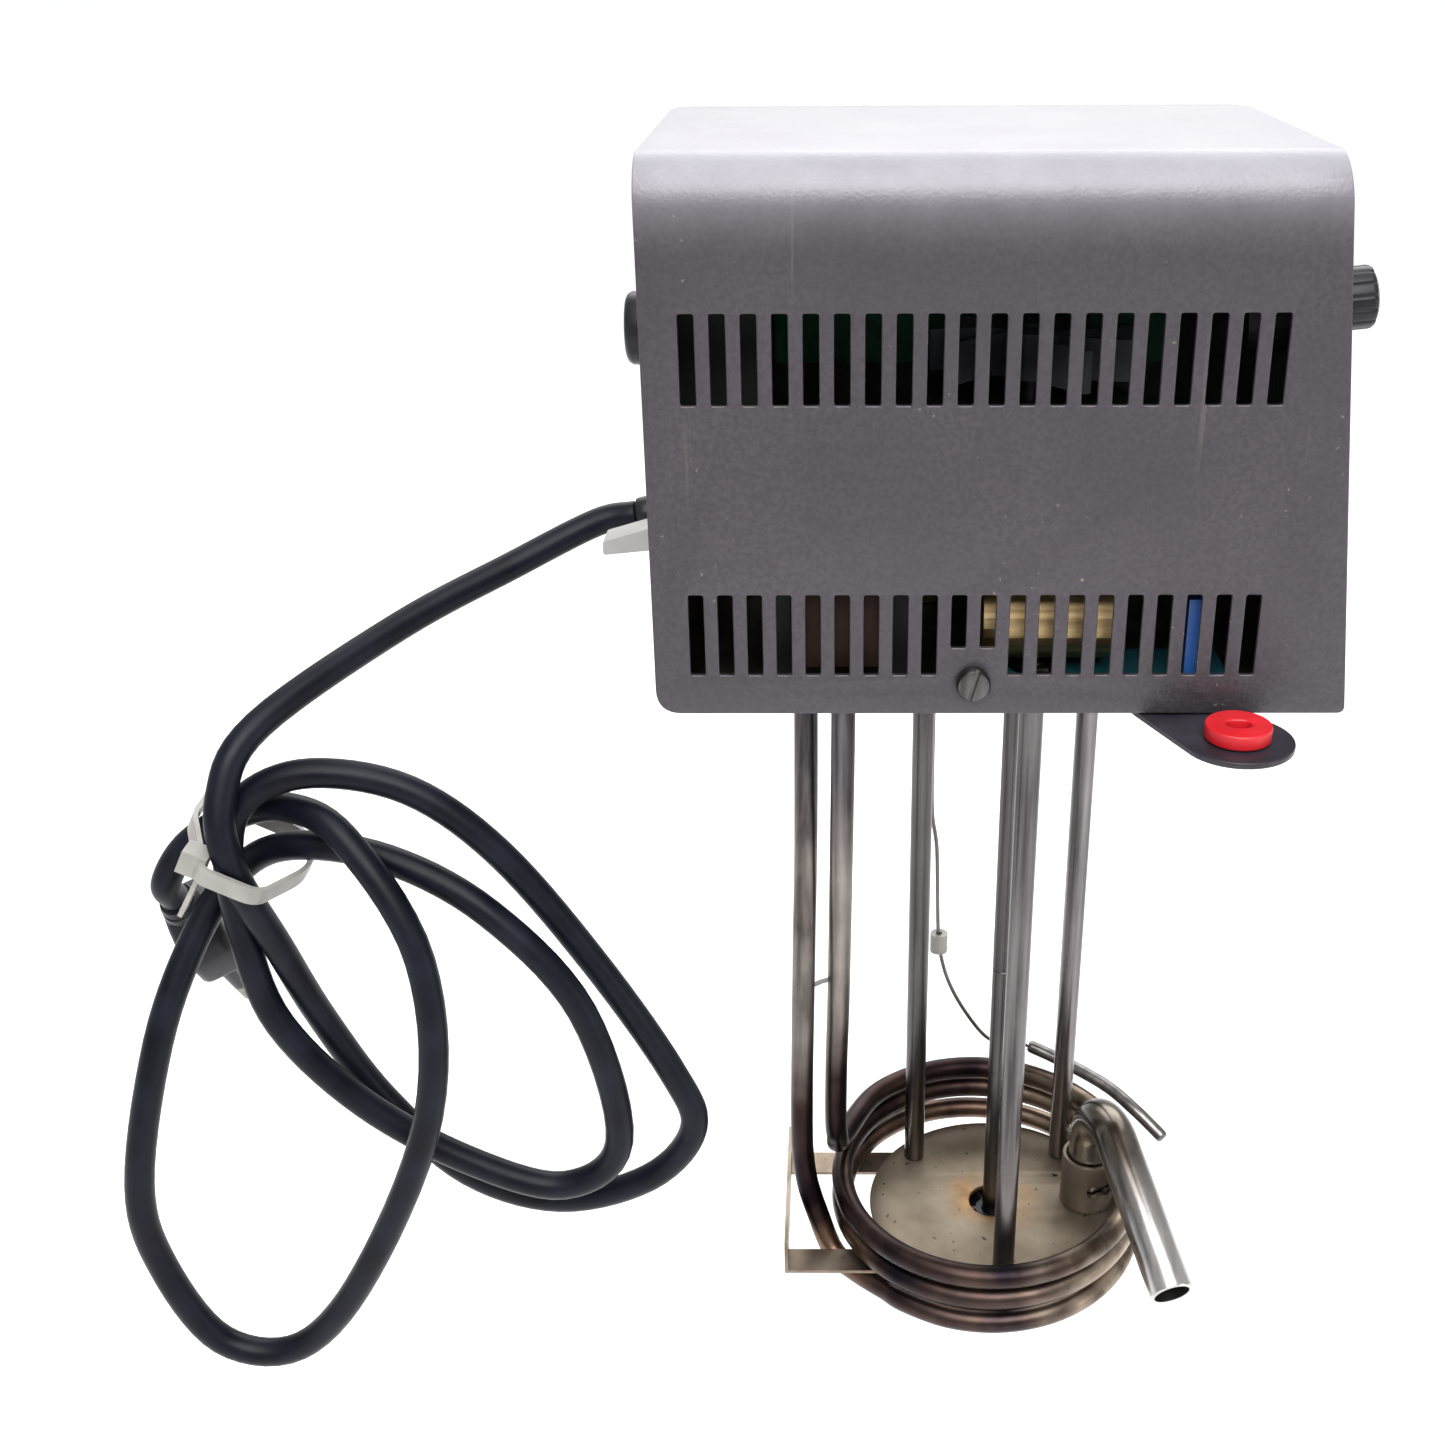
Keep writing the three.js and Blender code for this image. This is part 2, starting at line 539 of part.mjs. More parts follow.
// ---- What the head holds ------------------------------------------------------------------------
function addElectrics() {
  const board = rounded([[-2, -47.2], [62, -47.2], [62, -25], [-2, -25]], [round(...RODS.front, 6.5)]);
  add('power_board', slab(board, 3.6, 5.2), 'teal');
  add('motor_capacitor', bar([4, -33, 18.2], [34, -33, 18.2], 11, 28), 'brass');
  add('filter_capacitor', box(50.5, 55.5, -46, -38, 5.5, 26), 'blue');
  add('control_board', box(-60, 58, 29, 30.6, 63, 95), 'board');
  for (const [side, x] of [['left', -52], ['right', 50]]) {
    add(`board_spacer_${side}`, bar([x, 30.9, 79], [x, 49.6, 79], 3, 12), 'white');
  }
  add('terminal_block', cut(
    box(-60, -30, 20, 32, INSIDE_FLOOR, 16),
    ...[-54, -48, -42, -36].map((x) => box(x - 0.6, x + 0.6, 19, 33, 9, 17)),
  ), 'white');
}

function addTransformer() {
  const windows = [[-40.8, -35], [-23, -17.2]].map(([x0, x1]) => box(x0, x1, -39, -21, 9, 32.4));
  add('transformer_core', cut(box(-46, -12, -38, -22, INSIDE_FLOOR, 38), ...windows), 'iron');
  const leg = shaped([[-35.3, -38.3], [-22.7, -38.3], [-22.7, -21.7], [-35.3, -21.7]]);
  const coil = rounded([[-40.5, -45.5, 4], [-17.5, -45.5, 4], [-17.5, -15, 4], [-40.5, -15, 4]], [leg]);
  add('transformer_winding', slab(coil, 9.3, 32.1), 'winding');
}

// ---- Mains lead, its tie and plug ---------------------------------------------------------------
const LEAD_ROUTE = [
  [-81.5, 11.3, 27.8], [-92, 10.8, 25.8], [-113, 1, 17.5], [-138, -19, 9], [-165, -51, -3],
  [-172, -62, -16], [-171, -66, -32],
  [-165, -60, -58], [-159, -54, -83], [-147, -52, -109], [-127, -53, -132], [-103, -54, -140],
  [-79, -55, -132], [-67, -55, -116], [-72, -55, -98], [-90, -54, -66], [-111, -53, -36], [-131, -53, -19],
  [-153, -54, -14], [-168, -56, -19], [-174, -58, -31], [-173, -60, -55], [-167, -62, -79], [-149, -62, -103],
  [-124, -62, -121], [-100, -63, -128], [-85, -64, -113], [-92, -64, -74], [-113, -61, -48], [-137, -56, -36],
  [-161, -51, -35], [-176, -49, -43], [-186, -57, -57], [-195, -68, -80], [-203, -76, -117],
  [-201, -77, -142], [-189, -78, -166], [-169, -78, -168], [-149, -78, -143], [-129, -76, -96],
  [-128, -71, -55], [-145, -61, -28], [-161, -52, -24], [-177, -46, -30], [-189, -46, -38], [-195.5, -46.5, -48],
  [-196, -42, -55],
];
const LEAD_STEPS = 80;
const PLUG = { end: [-196, -41.8, -55.3], axis: [0.1, 0.55, -0.83], across: [0.45, -0.7, -0.5] };

// Local X is across the pins, local Z is along them.
function placePlug(geometry) {
  const z = new THREE.Vector3(...PLUG.axis).normalize();
  const y = z.clone().cross(new THREE.Vector3(...PLUG.across)).normalize();
  const x = y.clone().cross(z);
  const place = new THREE.Matrix4().makeBasis(x, y, z).setPosition(...PLUG.end);
  return geometry.applyMatrix4(place);
}

function plugBody() {
  const shell = upright(rounded([
    [-6, 6, 1], [6, 6, 1], [12, 11, 4], [12.5, 24, 1.5], [-12.5, 24, 1.5], [-12, 11, 4],
  ]), -6.5, 6.5);
  const collar = bar([0, 0, 0.6], [0, 0, 8], 4.4, 16, 6);
  return placePlug(join(shell, collar));
}

// The tie's own X and Y span the loop; its Z runs along the bundle of lead.
function placeTie(geometry) {
  const z = new THREE.Vector3(0.45, 0, 0.89).normalize();
  const y = new THREE.Vector3(0, 1, 0);
  const place = new THREE.Matrix4().makeBasis(y.clone().cross(z), y, z).setPosition(-172, -56, -34);
  return geometry.applyMatrix4(place);
}

function leadTie() {
  const inner = rounded([[-5, -14.2, 2], [8.6, -14.2, 3], [14.8, 1, 3], [14.8, 11, 3], [9, 16.5, 3],
    [-13.2, 16.5, 3], [-13.2, 5, 2], [-7.4, -7, 2]]);
  const outer = rounded([[-6, -15.4, 3], [9.3, -15.4, 4], [16, 0.7, 4], [16, 11.6, 4], [9.6, 17.7, 4],
    [-14.4, 17.7, 4], [-14.4, 4.6, 3], [-8.6, -7.3, 3]], [inner]);
  const head = box(-10.8, -4.9, -13, -7.2, -3, 3);
  const tail = box(-0.55, 0.55, -2.2, 2.2, -12, 0).rotateY(3 * DEG).translate(-5.4, -10.4, -2.6);
  return placeTie(join(slab(outer, -2.2, 2.2), head, tail));
}

function addLead() {
  const relief = [[0, -9], [4, -9], [5.2, -8], [5.2, 0], [5.2, 1], [4.2, 12], [0, 12]];
  add('strain_relief', aim(turned(0, 0, relief, 16), [-69.2, 11.3, 29.7], [-1, 0, -0.155]), 'rubber');
  add('mains_cord', tube(LEAD_ROUTE, LEAD_RADIUS, 8, LEAD_STEPS), 'rubber');
  add('cord_tie', leadTie(), 'nylon');
  add('plug_body', plugBody(), 'rubber');
  for (const [side, x] of [['left', -9.5], ['right', 9.5]]) {
    add(`plug_pin_${side}`, placePlug(bar([x, 0, 24.3], [x, 0, 41], 2, 12)), 'brass');
  }
}

addHead();
addKnob();
addDial();
addSwitch();
addRods();
addDrive();
addPump();
addHeater();
addGuard();
addProbe();
addArm();
addElectrics();
addTransformer();
addLead();

export default model;
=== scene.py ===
"""Looks for an immersion heating circulator: a slotted grey head on steel rods, with its lead tied up."""
import math

import bmesh
import bpy
from mathutils import Matrix, Vector, noise


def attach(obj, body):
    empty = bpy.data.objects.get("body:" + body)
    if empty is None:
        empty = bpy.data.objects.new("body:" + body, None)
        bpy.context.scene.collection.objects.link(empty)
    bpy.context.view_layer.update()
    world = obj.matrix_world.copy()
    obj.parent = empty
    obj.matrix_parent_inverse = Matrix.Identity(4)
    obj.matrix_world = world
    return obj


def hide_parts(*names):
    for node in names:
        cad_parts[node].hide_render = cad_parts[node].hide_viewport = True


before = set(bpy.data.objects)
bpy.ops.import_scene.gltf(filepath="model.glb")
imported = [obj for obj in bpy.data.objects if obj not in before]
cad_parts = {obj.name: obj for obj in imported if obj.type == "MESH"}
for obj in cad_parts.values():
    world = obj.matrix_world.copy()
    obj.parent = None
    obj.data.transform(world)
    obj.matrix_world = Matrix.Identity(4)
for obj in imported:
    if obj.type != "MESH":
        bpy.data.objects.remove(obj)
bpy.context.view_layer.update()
MM = 0.001
FLOOR_Z = -0.42


def mm(*values):
    return Vector(values) * MM


# ---- Camera and light ---------------------------------------------------------------------------
def add_camera():
    data = bpy.data.cameras.new("camera")
    data.sensor_width = 36
    data.lens = 42.74
    data.shift_x = -0.0696
    data.shift_y = -0.0074
    data.clip_start = 0.01
    camera = bpy.data.objects.new("camera", data)
    camera.location = mm(-29.68, -412.86, 167.04)
    camera.rotation_euler = [math.radians(a) for a in (65.217, 0.245, 0.427)]
    bpy.context.scene.collection.objects.link(camera)
    bpy.context.scene.camera = camera


def add_area(name, place, target, size, power):
    light = bpy.data.lights.new(name, "AREA")
    light.shape = "RECTANGLE"
    light.size, light.size_y = size
    light.energy = power
    lamp = bpy.data.objects.new(name, light)
    lamp.location = place
    lamp.rotation_euler = (Vector(target) - Vector(place)).to_track_quat("-Z", "Y").to_euler()
    bpy.context.scene.collection.objects.link(lamp)


def add_sky():
    """An even, very wide light from above and behind, so the floor stays pale all the way back."""
    light = bpy.data.lights.new("sky", "SUN")
    light.energy = 1.7
    light.angle = math.radians(60)
    lamp = bpy.data.objects.new("sky", light)
    lamp.rotation_euler = Vector((0.1, 0.7, 0.8)).to_track_quat("Z", "Y").to_euler()
    bpy.context.scene.collection.objects.link(lamp)


def add_stage():
    world = bpy.data.worlds.new("studio")
    bpy.context.scene.world = world
    world.use_nodes = True
    background = world.node_tree.nodes["Background"]
    background.inputs["Color"].default_value = (1, 1, 1, 1)
    background.inputs["Strength"].default_value = 0.72
    bpy.context.scene.view_settings.view_transform = "Standard"
    add_area("back_window", (0.0, 1.4, 0.86), (0, 0, 0.05), (1.9, 0.8), 9)
    add_area("front_top", (0.05, -1.0, 1.02), (0, -0.05, 0.1), (1.2, 0.85), 34)
    add_area("top_strip", (0.0, -0.35, 1.4), (0, -0.05, 0.1), (1.2, 0.5), 11)
    add_area("right_card", (0.62, -0.36, -0.02), (0, -0.02, -0.06), (0.16, 0.4), 0.7)
    add_sky()
    bm = bmesh.new()
    bmesh.ops.create_grid(bm, x_segments=1, y_segments=1, size=40)
    floor = make_object("floor", bm)
    floor.location.z = FLOOR_Z
    paint = Look("floor_paper", 0.9)
    paint.colour(paint.ramp(paint.noise(3), (0.87, 0.87, 0.88), (0.88, 0.88, 0.89)))
    floor.data.materials.append(paint.material)


# ---- Materials ----------------------------------------------------------------------------------
class Look:
    """A procedural material: constants sit on the shader's sockets, and patterns are linked to it."""

    def __init__(self, name, roughness, metallic=0.0, specular=0.5):
        self.material = bpy.data.materials.new(name)
        self.material.use_nodes = True
        self.nodes = self.material.node_tree.nodes
        self.links = self.material.node_tree.links
        self.shader = self.nodes["Principled BSDF"]
        self.shader.inputs["Roughness"].default_value = roughness
        self.shader.inputs["Metallic"].default_value = metallic
        self.shader.inputs["Specular IOR Level"].default_value = specular
        self.coords = self.nodes.new("ShaderNodeTexCoord").outputs["Object"]

    def stretched(self, scale):
        mapping = self.nodes.new("ShaderNodeMapping")
        mapping.inputs["Scale"].default_value = scale
        self.links.new(self.coords, mapping.inputs["Vector"])
        return mapping.outputs["Vector"]

    def noise(self, scale, detail=3, stretch=(1, 1, 1)):
        node = self.nodes.new("ShaderNodeTexNoise")
        node.inputs["Scale"].default_value = scale
        node.inputs["Detail"].default_value = detail
        self.links.new(self.stretched(stretch), node.inputs["Vector"])
        return node.outputs["Fac"]

    def cells(self, scale):
        node = self.nodes.new("ShaderNodeTexVoronoi")
        node.inputs["Scale"].default_value = scale
        self.links.new(self.coords, node.inputs["Vector"])
        return node.outputs["Distance"]

    def ramp(self, factor, first, last, low=0.35, high=0.65):
        node = self.nodes.new("ShaderNodeValToRGB")
        for element, place, colour in zip(node.color_ramp.elements, (low, high), (first, last)):
            element.position = place
            element.color = (*colour, 1)
        self.links.new(factor, node.inputs["Fac"])
        return node.outputs["Color"]

    def math(self, kind, a, b=0.5, c=0.5):
        node = self.nodes.new("ShaderNodeMath")
        node.operation = kind
        for socket, value in zip(node.inputs, (a, b, c)):
            if isinstance(value, (int, float)):
                socket.default_value = value
            else:
                self.links.new(value, socket)
        return node.outputs[0]

    def blend(self, a, b, share):
        """Two patterns together: share of a, and the rest of b."""
        return self.math("MULTIPLY_ADD", a, share, self.math("MULTIPLY", b, 1 - share))

    def axis(self, letter):
        node = self.nodes.new("ShaderNodeSeparateXYZ")
        self.links.new(self.coords, node.inputs[0])
        return node.outputs[letter]

    def span(self, value, low, high):
        """0 below low, 1 above high (low may be the larger one)."""
        node = self.nodes.new("ShaderNodeMapRange")
        for socket, number in zip(list(node.inputs)[1:5], (low, high, 0, 1)):
            socket.default_value = number
        self.links.new(value, node.inputs[0])
        return node.outputs[0]

    def mix(self, factor, a, b):
        node = self.nodes.new("ShaderNodeMix")
        node.data_type = "RGBA"
        self.links.new(factor, node.inputs["Factor"])
        for name, value in (("A", a), ("B", b)):
            socket = [s for s in node.inputs if s.name == name and s.type == "RGBA"][0]
            if isinstance(value, tuple):
                socket.default_value = (*value, 1)
            else:
                self.links.new(value, socket)
        return [s for s in node.outputs if s.type == "RGBA"][0]

    def colour(self, value):
        self.links.new(value, self.shader.inputs["Base Color"])
        return self

    def rough(self, factor, low, high):
        node = self.nodes.new("ShaderNodeMapRange")
        node.inputs[3].default_value = low
        node.inputs[4].default_value = high
        self.links.new(factor, node.inputs[0])
        self.links.new(node.outputs[0], self.shader.inputs["Roughness"])
        return self

    def bump(self, height, strength, distance):
        node = self.nodes.new("ShaderNodeBump")
        node.inputs["Strength"].default_value = strength
        node.inputs["Distance"].default_value = distance * MM
        self.links.new(height, node.inputs["Height"])
        if self.shader.inputs["Normal"].is_linked:
            before = self.shader.inputs["Normal"].links[0].from_socket
            self.links.new(before, node.inputs["Normal"])
        self.links.new(node.outputs["Normal"], self.shader.inputs["Normal"])
        return self


def paint_look():
    """Fine-grained powder coat with a few pale chips and faint upright scratches, painted lighter towards
    its top as light from above.
    """
    look = Look("powder_coat", 0.4, 0, 0.62)
    look.shader.inputs["Specular Tint"].default_value = (1, 0.93, 0.99, 1)
    base = look.ramp(look.noise(14, 4), (0.012, 0.010, 0.012), (0.018, 0.015, 0.018))
    grain = look.ramp(look.noise(900, 2), (0.006, 0.005, 0.006), (0.038, 0.032, 0.038))
    grained = look.mix(look.math("MULTIPLY", look.noise(30), 0.6), base, grain)
    scratches = look.span(look.noise(90, 5, (4, 1, 0.12)), 0.68, 0.76)
    scratched = look.mix(look.math("MULTIPLY", scratches, 0.10), grained, (0.24, 0.21, 0.18))
    chips = look.span(look.noise(620, 3), 0.69, 0.73)
    patches = look.span(look.noise(24, 3), 0.54, 0.66)
    chipped = look.mix(look.math("MULTIPLY", look.math("MULTIPLY", chips, patches), 0.5), scratched,
                       (0.24, 0.21, 0.16))
    # Painted light: the colour grows lighter from just under the bend up over the bend and the top, where
    # light from above falls.
    top_light_mask = look.span(look.math("MULTIPLY_ADD", look.noise(300, 2), 0.002, look.axis("Z")), 0.103, 0.1225)
    painted_top_light = look.ramp(look.noise(60, 4), (0.156, 0.154, 0.173), (0.178, 0.176, 0.195))
    look.colour(look.mix(look.math("POWER", top_light_mask, 2.1), chipped, painted_top_light))
    look.rough(look.noise(30), 0.36, 0.52)
    look.bump(look.cells(1300), 0.32, 0.14)
    return look.bump(look.noise(620, 2), 0.25, 0.18)


def steel_look():
    look = Look("stainless", 0.3, 1)
    streaks = look.noise(420, 4, (1, 1, 0.05))
    cloud = look.noise(46, 5, (1, 1, 0.5))
    colour = look.ramp(look.blend(streaks, cloud, 0.5), (0.09, 0.084, 0.080), (0.22, 0.208, 0.20))
    spots = look.span(look.noise(330, 3), 0.72, 0.77)
    look.colour(look.mix(spots, colour, (0.16, 0.13, 0.11)))
    look.rough(cloud, 0.2, 0.46)
    return look.bump(look.noise(900, 2, (1, 1, 0.1)), 0.12, 0.05)


def scaled(colour, light_gain):
    return tuple(light_gain * channel for channel in colour)


def rod_look(name, light_gain):
    """Greyer above, water-stained and browner towards the plate; the gain paints the light and shade the rod
    gets by scaling its steel colour.
    """
    look = Look(name, 0.3, 1)
    height = look.axis("Z")
    cloud = look.noise(38, 5, (1, 1, 0.45))
    streaks = look.noise(500, 3, (1, 1, 0.03))
    clean_dark = scaled((0.075, 0.068, 0.069), light_gain)
    clean_light = scaled((0.27, 0.252, 0.252), light_gain)
    clean = look.ramp(look.blend(streaks, cloud, 0.55), clean_dark, clean_light)
    stained_dark = scaled((0.20, 0.172, 0.160), light_gain)
    stained_light = scaled((0.42, 0.375, 0.355), light_gain)
    stained = look.ramp(cloud, stained_dark, stained_light)
    low = look.span(look.math("MULTIPLY_ADD", cloud, 0.05, height), -0.10, -0.155)
    look.colour(look.mix(look.math("MULTIPLY", low, 0.6), clean, stained))
    look.rough(cloud, 0.18, 0.42)
    return look.bump(streaks, 0.1, 0.04)


def heater_look():
    """Dark steel at the head, paler steel below it, then near-black brown; the coil is mottled brown,
    painted darker at the front as shade, and painted lighter, bronze at its right side, as light falling
    there."""
    look = Look("heat_tinted_tube", 0.38, 1)
    height = look.math("MULTIPLY_ADD", look.noise(30, 4), 0.04, look.axis("Z"))
    cloud = look.noise(55, 5)
    streaks = look.noise(420, 3, (1, 1, 0.05))
    top = look.ramp(streaks, (0.027, 0.023, 0.025), (0.11, 0.10, 0.104))
    pale = look.ramp(look.blend(streaks, cloud, 0.5), (0.075, 0.064, 0.059), (0.235, 0.21, 0.19))
    dark = look.ramp(cloud, (0.008, 0.005, 0.007), (0.034, 0.021, 0.018))
    coil = look.ramp(cloud, (0.026, 0.017, 0.017), (0.190, 0.116, 0.076), 0.34, 0.66)
    upper = look.mix(look.span(height, -0.022, -0.05), top, pale)
    lower = look.mix(look.span(height, -0.088, -0.118), upper, dark)
    # Painted shade: the front of the coil is darker, as it faces away from the light.
    front_shade = look.ramp(cloud, (0.010, 0.009, 0.013), (0.060, 0.040, 0.034), 0.34, 0.66)
    front_shaded_coil = look.mix(look.math("MULTIPLY", look.span(look.axis("Y"), -0.018, -0.036), 0.9), coil, front_shade)
    wound = look.mix(look.span(height, -0.145, -0.165), lower, front_shaded_coil)
    # Painted light: the lower coil's right side is lighter, as light falls on it from the right.
    right = look.math("MULTIPLY", look.span(look.axis("X"), 0.02, 0.05), look.span(height, -0.13, -0.15))
    lit_bronze = look.ramp(look.noise(85, 4), (0.08, 0.060, 0.043), (0.40, 0.325, 0.25))
    look.colour(look.mix(look.math("MULTIPLY", right, 0.85), wound, lit_bronze))
    look.rough(look.noise(70, 4), 0.26, 0.5)
    return look.bump(look.noise(600, 3), 0.2, 0.08)


def pump_look():
    """Satin steel with a rusty halo round the shaft and dark specks."""
    look = Look("pump_plate_steel", 0.5, 0.75)
    x = look.math("SUBTRACT", look.axis("X"), SHAFT[0] * MM)
    y = look.math("SUBTRACT", look.axis("Y"), SHAFT[1] * MM)
    square = look.math("ADD", look.math("MULTIPLY", x, x), look.math("MULTIPLY", y, y))
    radius = look.math("MULTIPLY_ADD", look.noise(120, 3), 0.006, look.math("SQRT", square))
    cloud = look.noise(60, 5)
    satin = look.ramp(cloud, (0.122, 0.097, 0.069), (0.205, 0.171, 0.128))
    halo = look.math("MULTIPLY", look.span(radius, 0.0190, 0.011), look.span(radius, 0.0075, 0.0088))
    ochre = look.ramp(look.noise(300, 3), (0.27, 0.15, 0.05), (0.15, 0.08, 0.03))
    rusted = look.mix(look.math("MULTIPLY", halo, look.span(look.noise(70, 3), 0.22, 0.72)), satin, ochre)
    rim = look.span(radius, 0.036, 0.039)
    edged = look.mix(look.math("MULTIPLY", rim, 0.5), rusted, (0.07, 0.05, 0.036))
    specks = look.span(look.noise(420, 2), 0.68, 0.72)
    look.colour(look.mix(specks, edged, (0.035, 0.026, 0.02)))
    look.rough(cloud, 0.36, 0.6)
    return look.bump(look.noise(500, 3), 0.2, 0.08)


def elbow_look():
    """Polished tube, painted darker and warmer over the bend as shade; the straight part's colour is raised
    to paint its highlight.
    """
    look = Look("outlet_steel", 0.22, 1)
    # Painted shade over the bend, painted highlight on the straight part.
    bend = look.span(look.math("MULTIPLY_ADD", look.noise(50), 0.008, look.axis("Z")), -0.153, -0.141)
    streaks = look.noise(230, 4, (1, 0.08, 0.3))
    polished_highlit_straight = look.ramp(streaks, (0.28, 0.27, 0.262), (0.56, 0.55, 0.54), 0.3, 0.7)
    satin = look.ramp(look.noise(60, 5), (0.08, 0.067, 0.057), (0.17, 0.147, 0.128))
    spots = look.span(look.noise(300, 3), 0.70, 0.75)
    look.colour(look.mix(spots, look.mix(bend, polished_highlit_straight, satin), (0.08, 0.06, 0.05)))
    look.rough(look.noise(45, 4), 0.14, 0.34)
    return look.bump(look.noise(700, 3), 0.1, 0.05)


def plastic_look(name, dark, light, roughness, grain=0.12, specular=0.5):
    look = Look(name, roughness, 0, specular)
    look.colour(look.ramp(look.noise(60, 4), dark, light))
    look.rough(look.noise(150), roughness - 0.08, roughness + 0.1)
    return look.bump(look.noise(1400, 2), grain, 0.05)


def lead_look():
    """Black flexible sheath with a soft sheen, faint dust and long drawing marks."""
    look = Look("black_sheath", 0.34, 0, 0.12)
    look.colour(look.ramp(look.noise(80, 5), (0.0014, 0.0015, 0.0040), (0.0048, 0.0052, 0.0100)))
    look.rough(look.noise(120, 4), 0.3, 0.48)
    return look.bump(look.noise(260, 4), 0.10, 0.2)


def zinc_look():
    look = Look("zinc_sheet", 0.42, 1)
    cloud = look.noise(70, 5)
    base = look.ramp(cloud, (0.12, 0.092, 0.070), (0.23, 0.190, 0.150))
    rust = look.span(look.noise(210, 4), 0.62, 0.7)
    look.colour(look.mix(look.math("MULTIPLY", rust, 0.5), base, (0.10, 0.06, 0.035)))
    look.rough(cloud, 0.3, 0.5)
    return look.bump(look.noise(500, 3), 0.15, 0.06)


def panel_look():
    """Evenly brushed side sheet."""
    look = Look("brushed_panel", 0.45, 0.85)
    brushed = look.noise(500, 3, (1, 1, 0.05))
    look.colour(look.ramp(brushed, (0.17, 0.165, 0.165), (0.24, 0.233, 0.233)))
    look.rough(look.noise(40, 3), 0.4, 0.52)
    return look.bump(brushed, 0.1, 0.04)


def brass_look():
    look = Look("brushed_brass", 0.36, 1)
    brushed = look.noise(700, 3, (0.06, 1, 1))
    look.colour(look.ramp(brushed, (0.27, 0.185, 0.085), (0.44, 0.325, 0.17)))
    look.rough(look.noise(60, 3), 0.28, 0.44)
    return look.bump(brushed, 0.12, 0.04)


def pin_look():
    """A plug pin: black sleeve at its root, dull nickel-brass at its tip."""
    look = Look("sleeved_pin", 0.42, 0.4)
    along = look.math("MULTIPLY_ADD", look.axis("Y"), 0.55, look.math("MULTIPLY", look.axis("Z"), -0.83))
    along = look.math("MULTIPLY_ADD", look.axis("X"), 0.1, along)
    metal = look.ramp(look.noise(300), (0.10, 0.09, 0.06), (0.19, 0.175, 0.125))
    return look.colour(look.mix(look.span(along, 0.0374, 0.0378), (0.006, 0.006, 0.008), metal))


def board_look(name, dark, light):
    look = Look(name, 0.3)
    tracks = look.span(look.cells(300), 0.42, 0.46)
    look.colour(look.mix(look.math("MULTIPLY", tracks, 0.5), look.ramp(look.noise(40), dark, light), light))
    return look.rough(look.noise(90), 0.24, 0.4)


def nylon_look():
    look = plastic_look("natural_nylon", (0.15, 0.145, 0.13), (0.25, 0.24, 0.22), 0.4)
    look.shader.inputs["Subsurface Weight"].default_value = 0.3
    look.shader.inputs["Subsurface Radius"].default_value = (0.002, 0.0018, 0.0014)
    return look


def make_looks():
    return {
        "paint": paint_look(),
        "steel": steel_look(),
        # One steel in three copies whose gains paint light and shade: the right rod lit most, the front rod
        # darker, and the left rod darkest as painted shade; the shaft and the screws use that darkest copy.
        "rod": rod_look("stained_rod", 0.85),
        "half_shaded_front_rod": rod_look("half_shaded_front_rod", 0.62),
        "shaded_rod": rod_look("shaded_rod", 0.42),
        "pin": pin_look(),
        "zinc": zinc_look(),
        "panel": panel_look(),
        "pump": pump_look(),
        "elbow": elbow_look(),
        "heater": heater_look(),
        "brass": brass_look(),
        "black": plastic_look("black_plastic", (0.004, 0.004, 0.006), (0.010, 0.010, 0.013), 0.36,
                              specular=0.22),
        "arm": plastic_look("black_arm", (0.010, 0.009, 0.013), (0.022, 0.020, 0.028), 0.34,
                            specular=0.35),
        "grey": plastic_look("grey_plastic", (0.07, 0.075, 0.085), (0.11, 0.118, 0.13), 0.5),
        "white": plastic_look("white_plastic", (0.24, 0.235, 0.228), (0.30, 0.295, 0.288), 0.45),
        "nylon": nylon_look(),
        "red": plastic_look("red_plastic", (0.36, 0.003, 0.008), (0.45, 0.006, 0.012), 0.4),
        "rubber": lead_look(),
        "iron": plastic_look("black_enamel", (0.006, 0.006, 0.007), (0.016, 0.0155, 0.015), 0.5,
                             specular=0.25),
        "winding": plastic_look("varnished_copper", (0.014, 0.007, 0.005), (0.026, 0.013, 0.009), 0.5,
                                grain=0.3, specular=0.1),
        "board": board_look("green_board", (0.005, 0.09, 0.045), (0.012, 0.15, 0.08)),
        "teal_board": board_look("teal_board", (0.004, 0.035, 0.045), (0.008, 0.055, 0.065)),
        "blue": plastic_look("blue_case", (0.012, 0.06, 0.22), (0.022, 0.09, 0.30), 0.34),
    }


# ---- Mesh helpers -------------------------------------------------------------------------------
def make_object(name, bm, sharp=35):
    mesh = bpy.data.meshes.new(name)
    bmesh.ops.recalc_face_normals(bm, faces=bm.faces)
    bm.to_mesh(mesh)
    bm.free()
    mesh.shade_smooth()
    mesh.set_sharp_from_angle(angle=math.radians(sharp))
    piece = bpy.data.objects.new(name, mesh)
    bpy.context.scene.collection.objects.link(piece)
    return piece


def settle(piece, body, slot, look, *nodes):
    """Gives a piece its material and body, and hides the nodes it stands for; the slot argument is not used.
    """
    piece.data.materials.clear()
    piece.data.materials.append(LOOKS[look].material)
    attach(piece, body)
    if nodes:
        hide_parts(*nodes)
    return piece


def curve_through(points, per_step):
    """Points along the smooth curve that the frame's own tubes follow."""
    padded = [points[0] * 2 - points[1], *points, points[-1] * 2 - points[-2]]
    line = []
    for a, b, c, d in zip(padded, padded[1:], padded[2:], padded[3:]):
        for i in range(per_step):
            t = i / per_step
            line.append(0.5 * (2 * b + (c - a) * t + (2 * a - 5 * b + 4 * c - d) * t * t
                               + (3 * b - a - 3 * c + d) * t ** 3))
    return [*line, points[-1]]


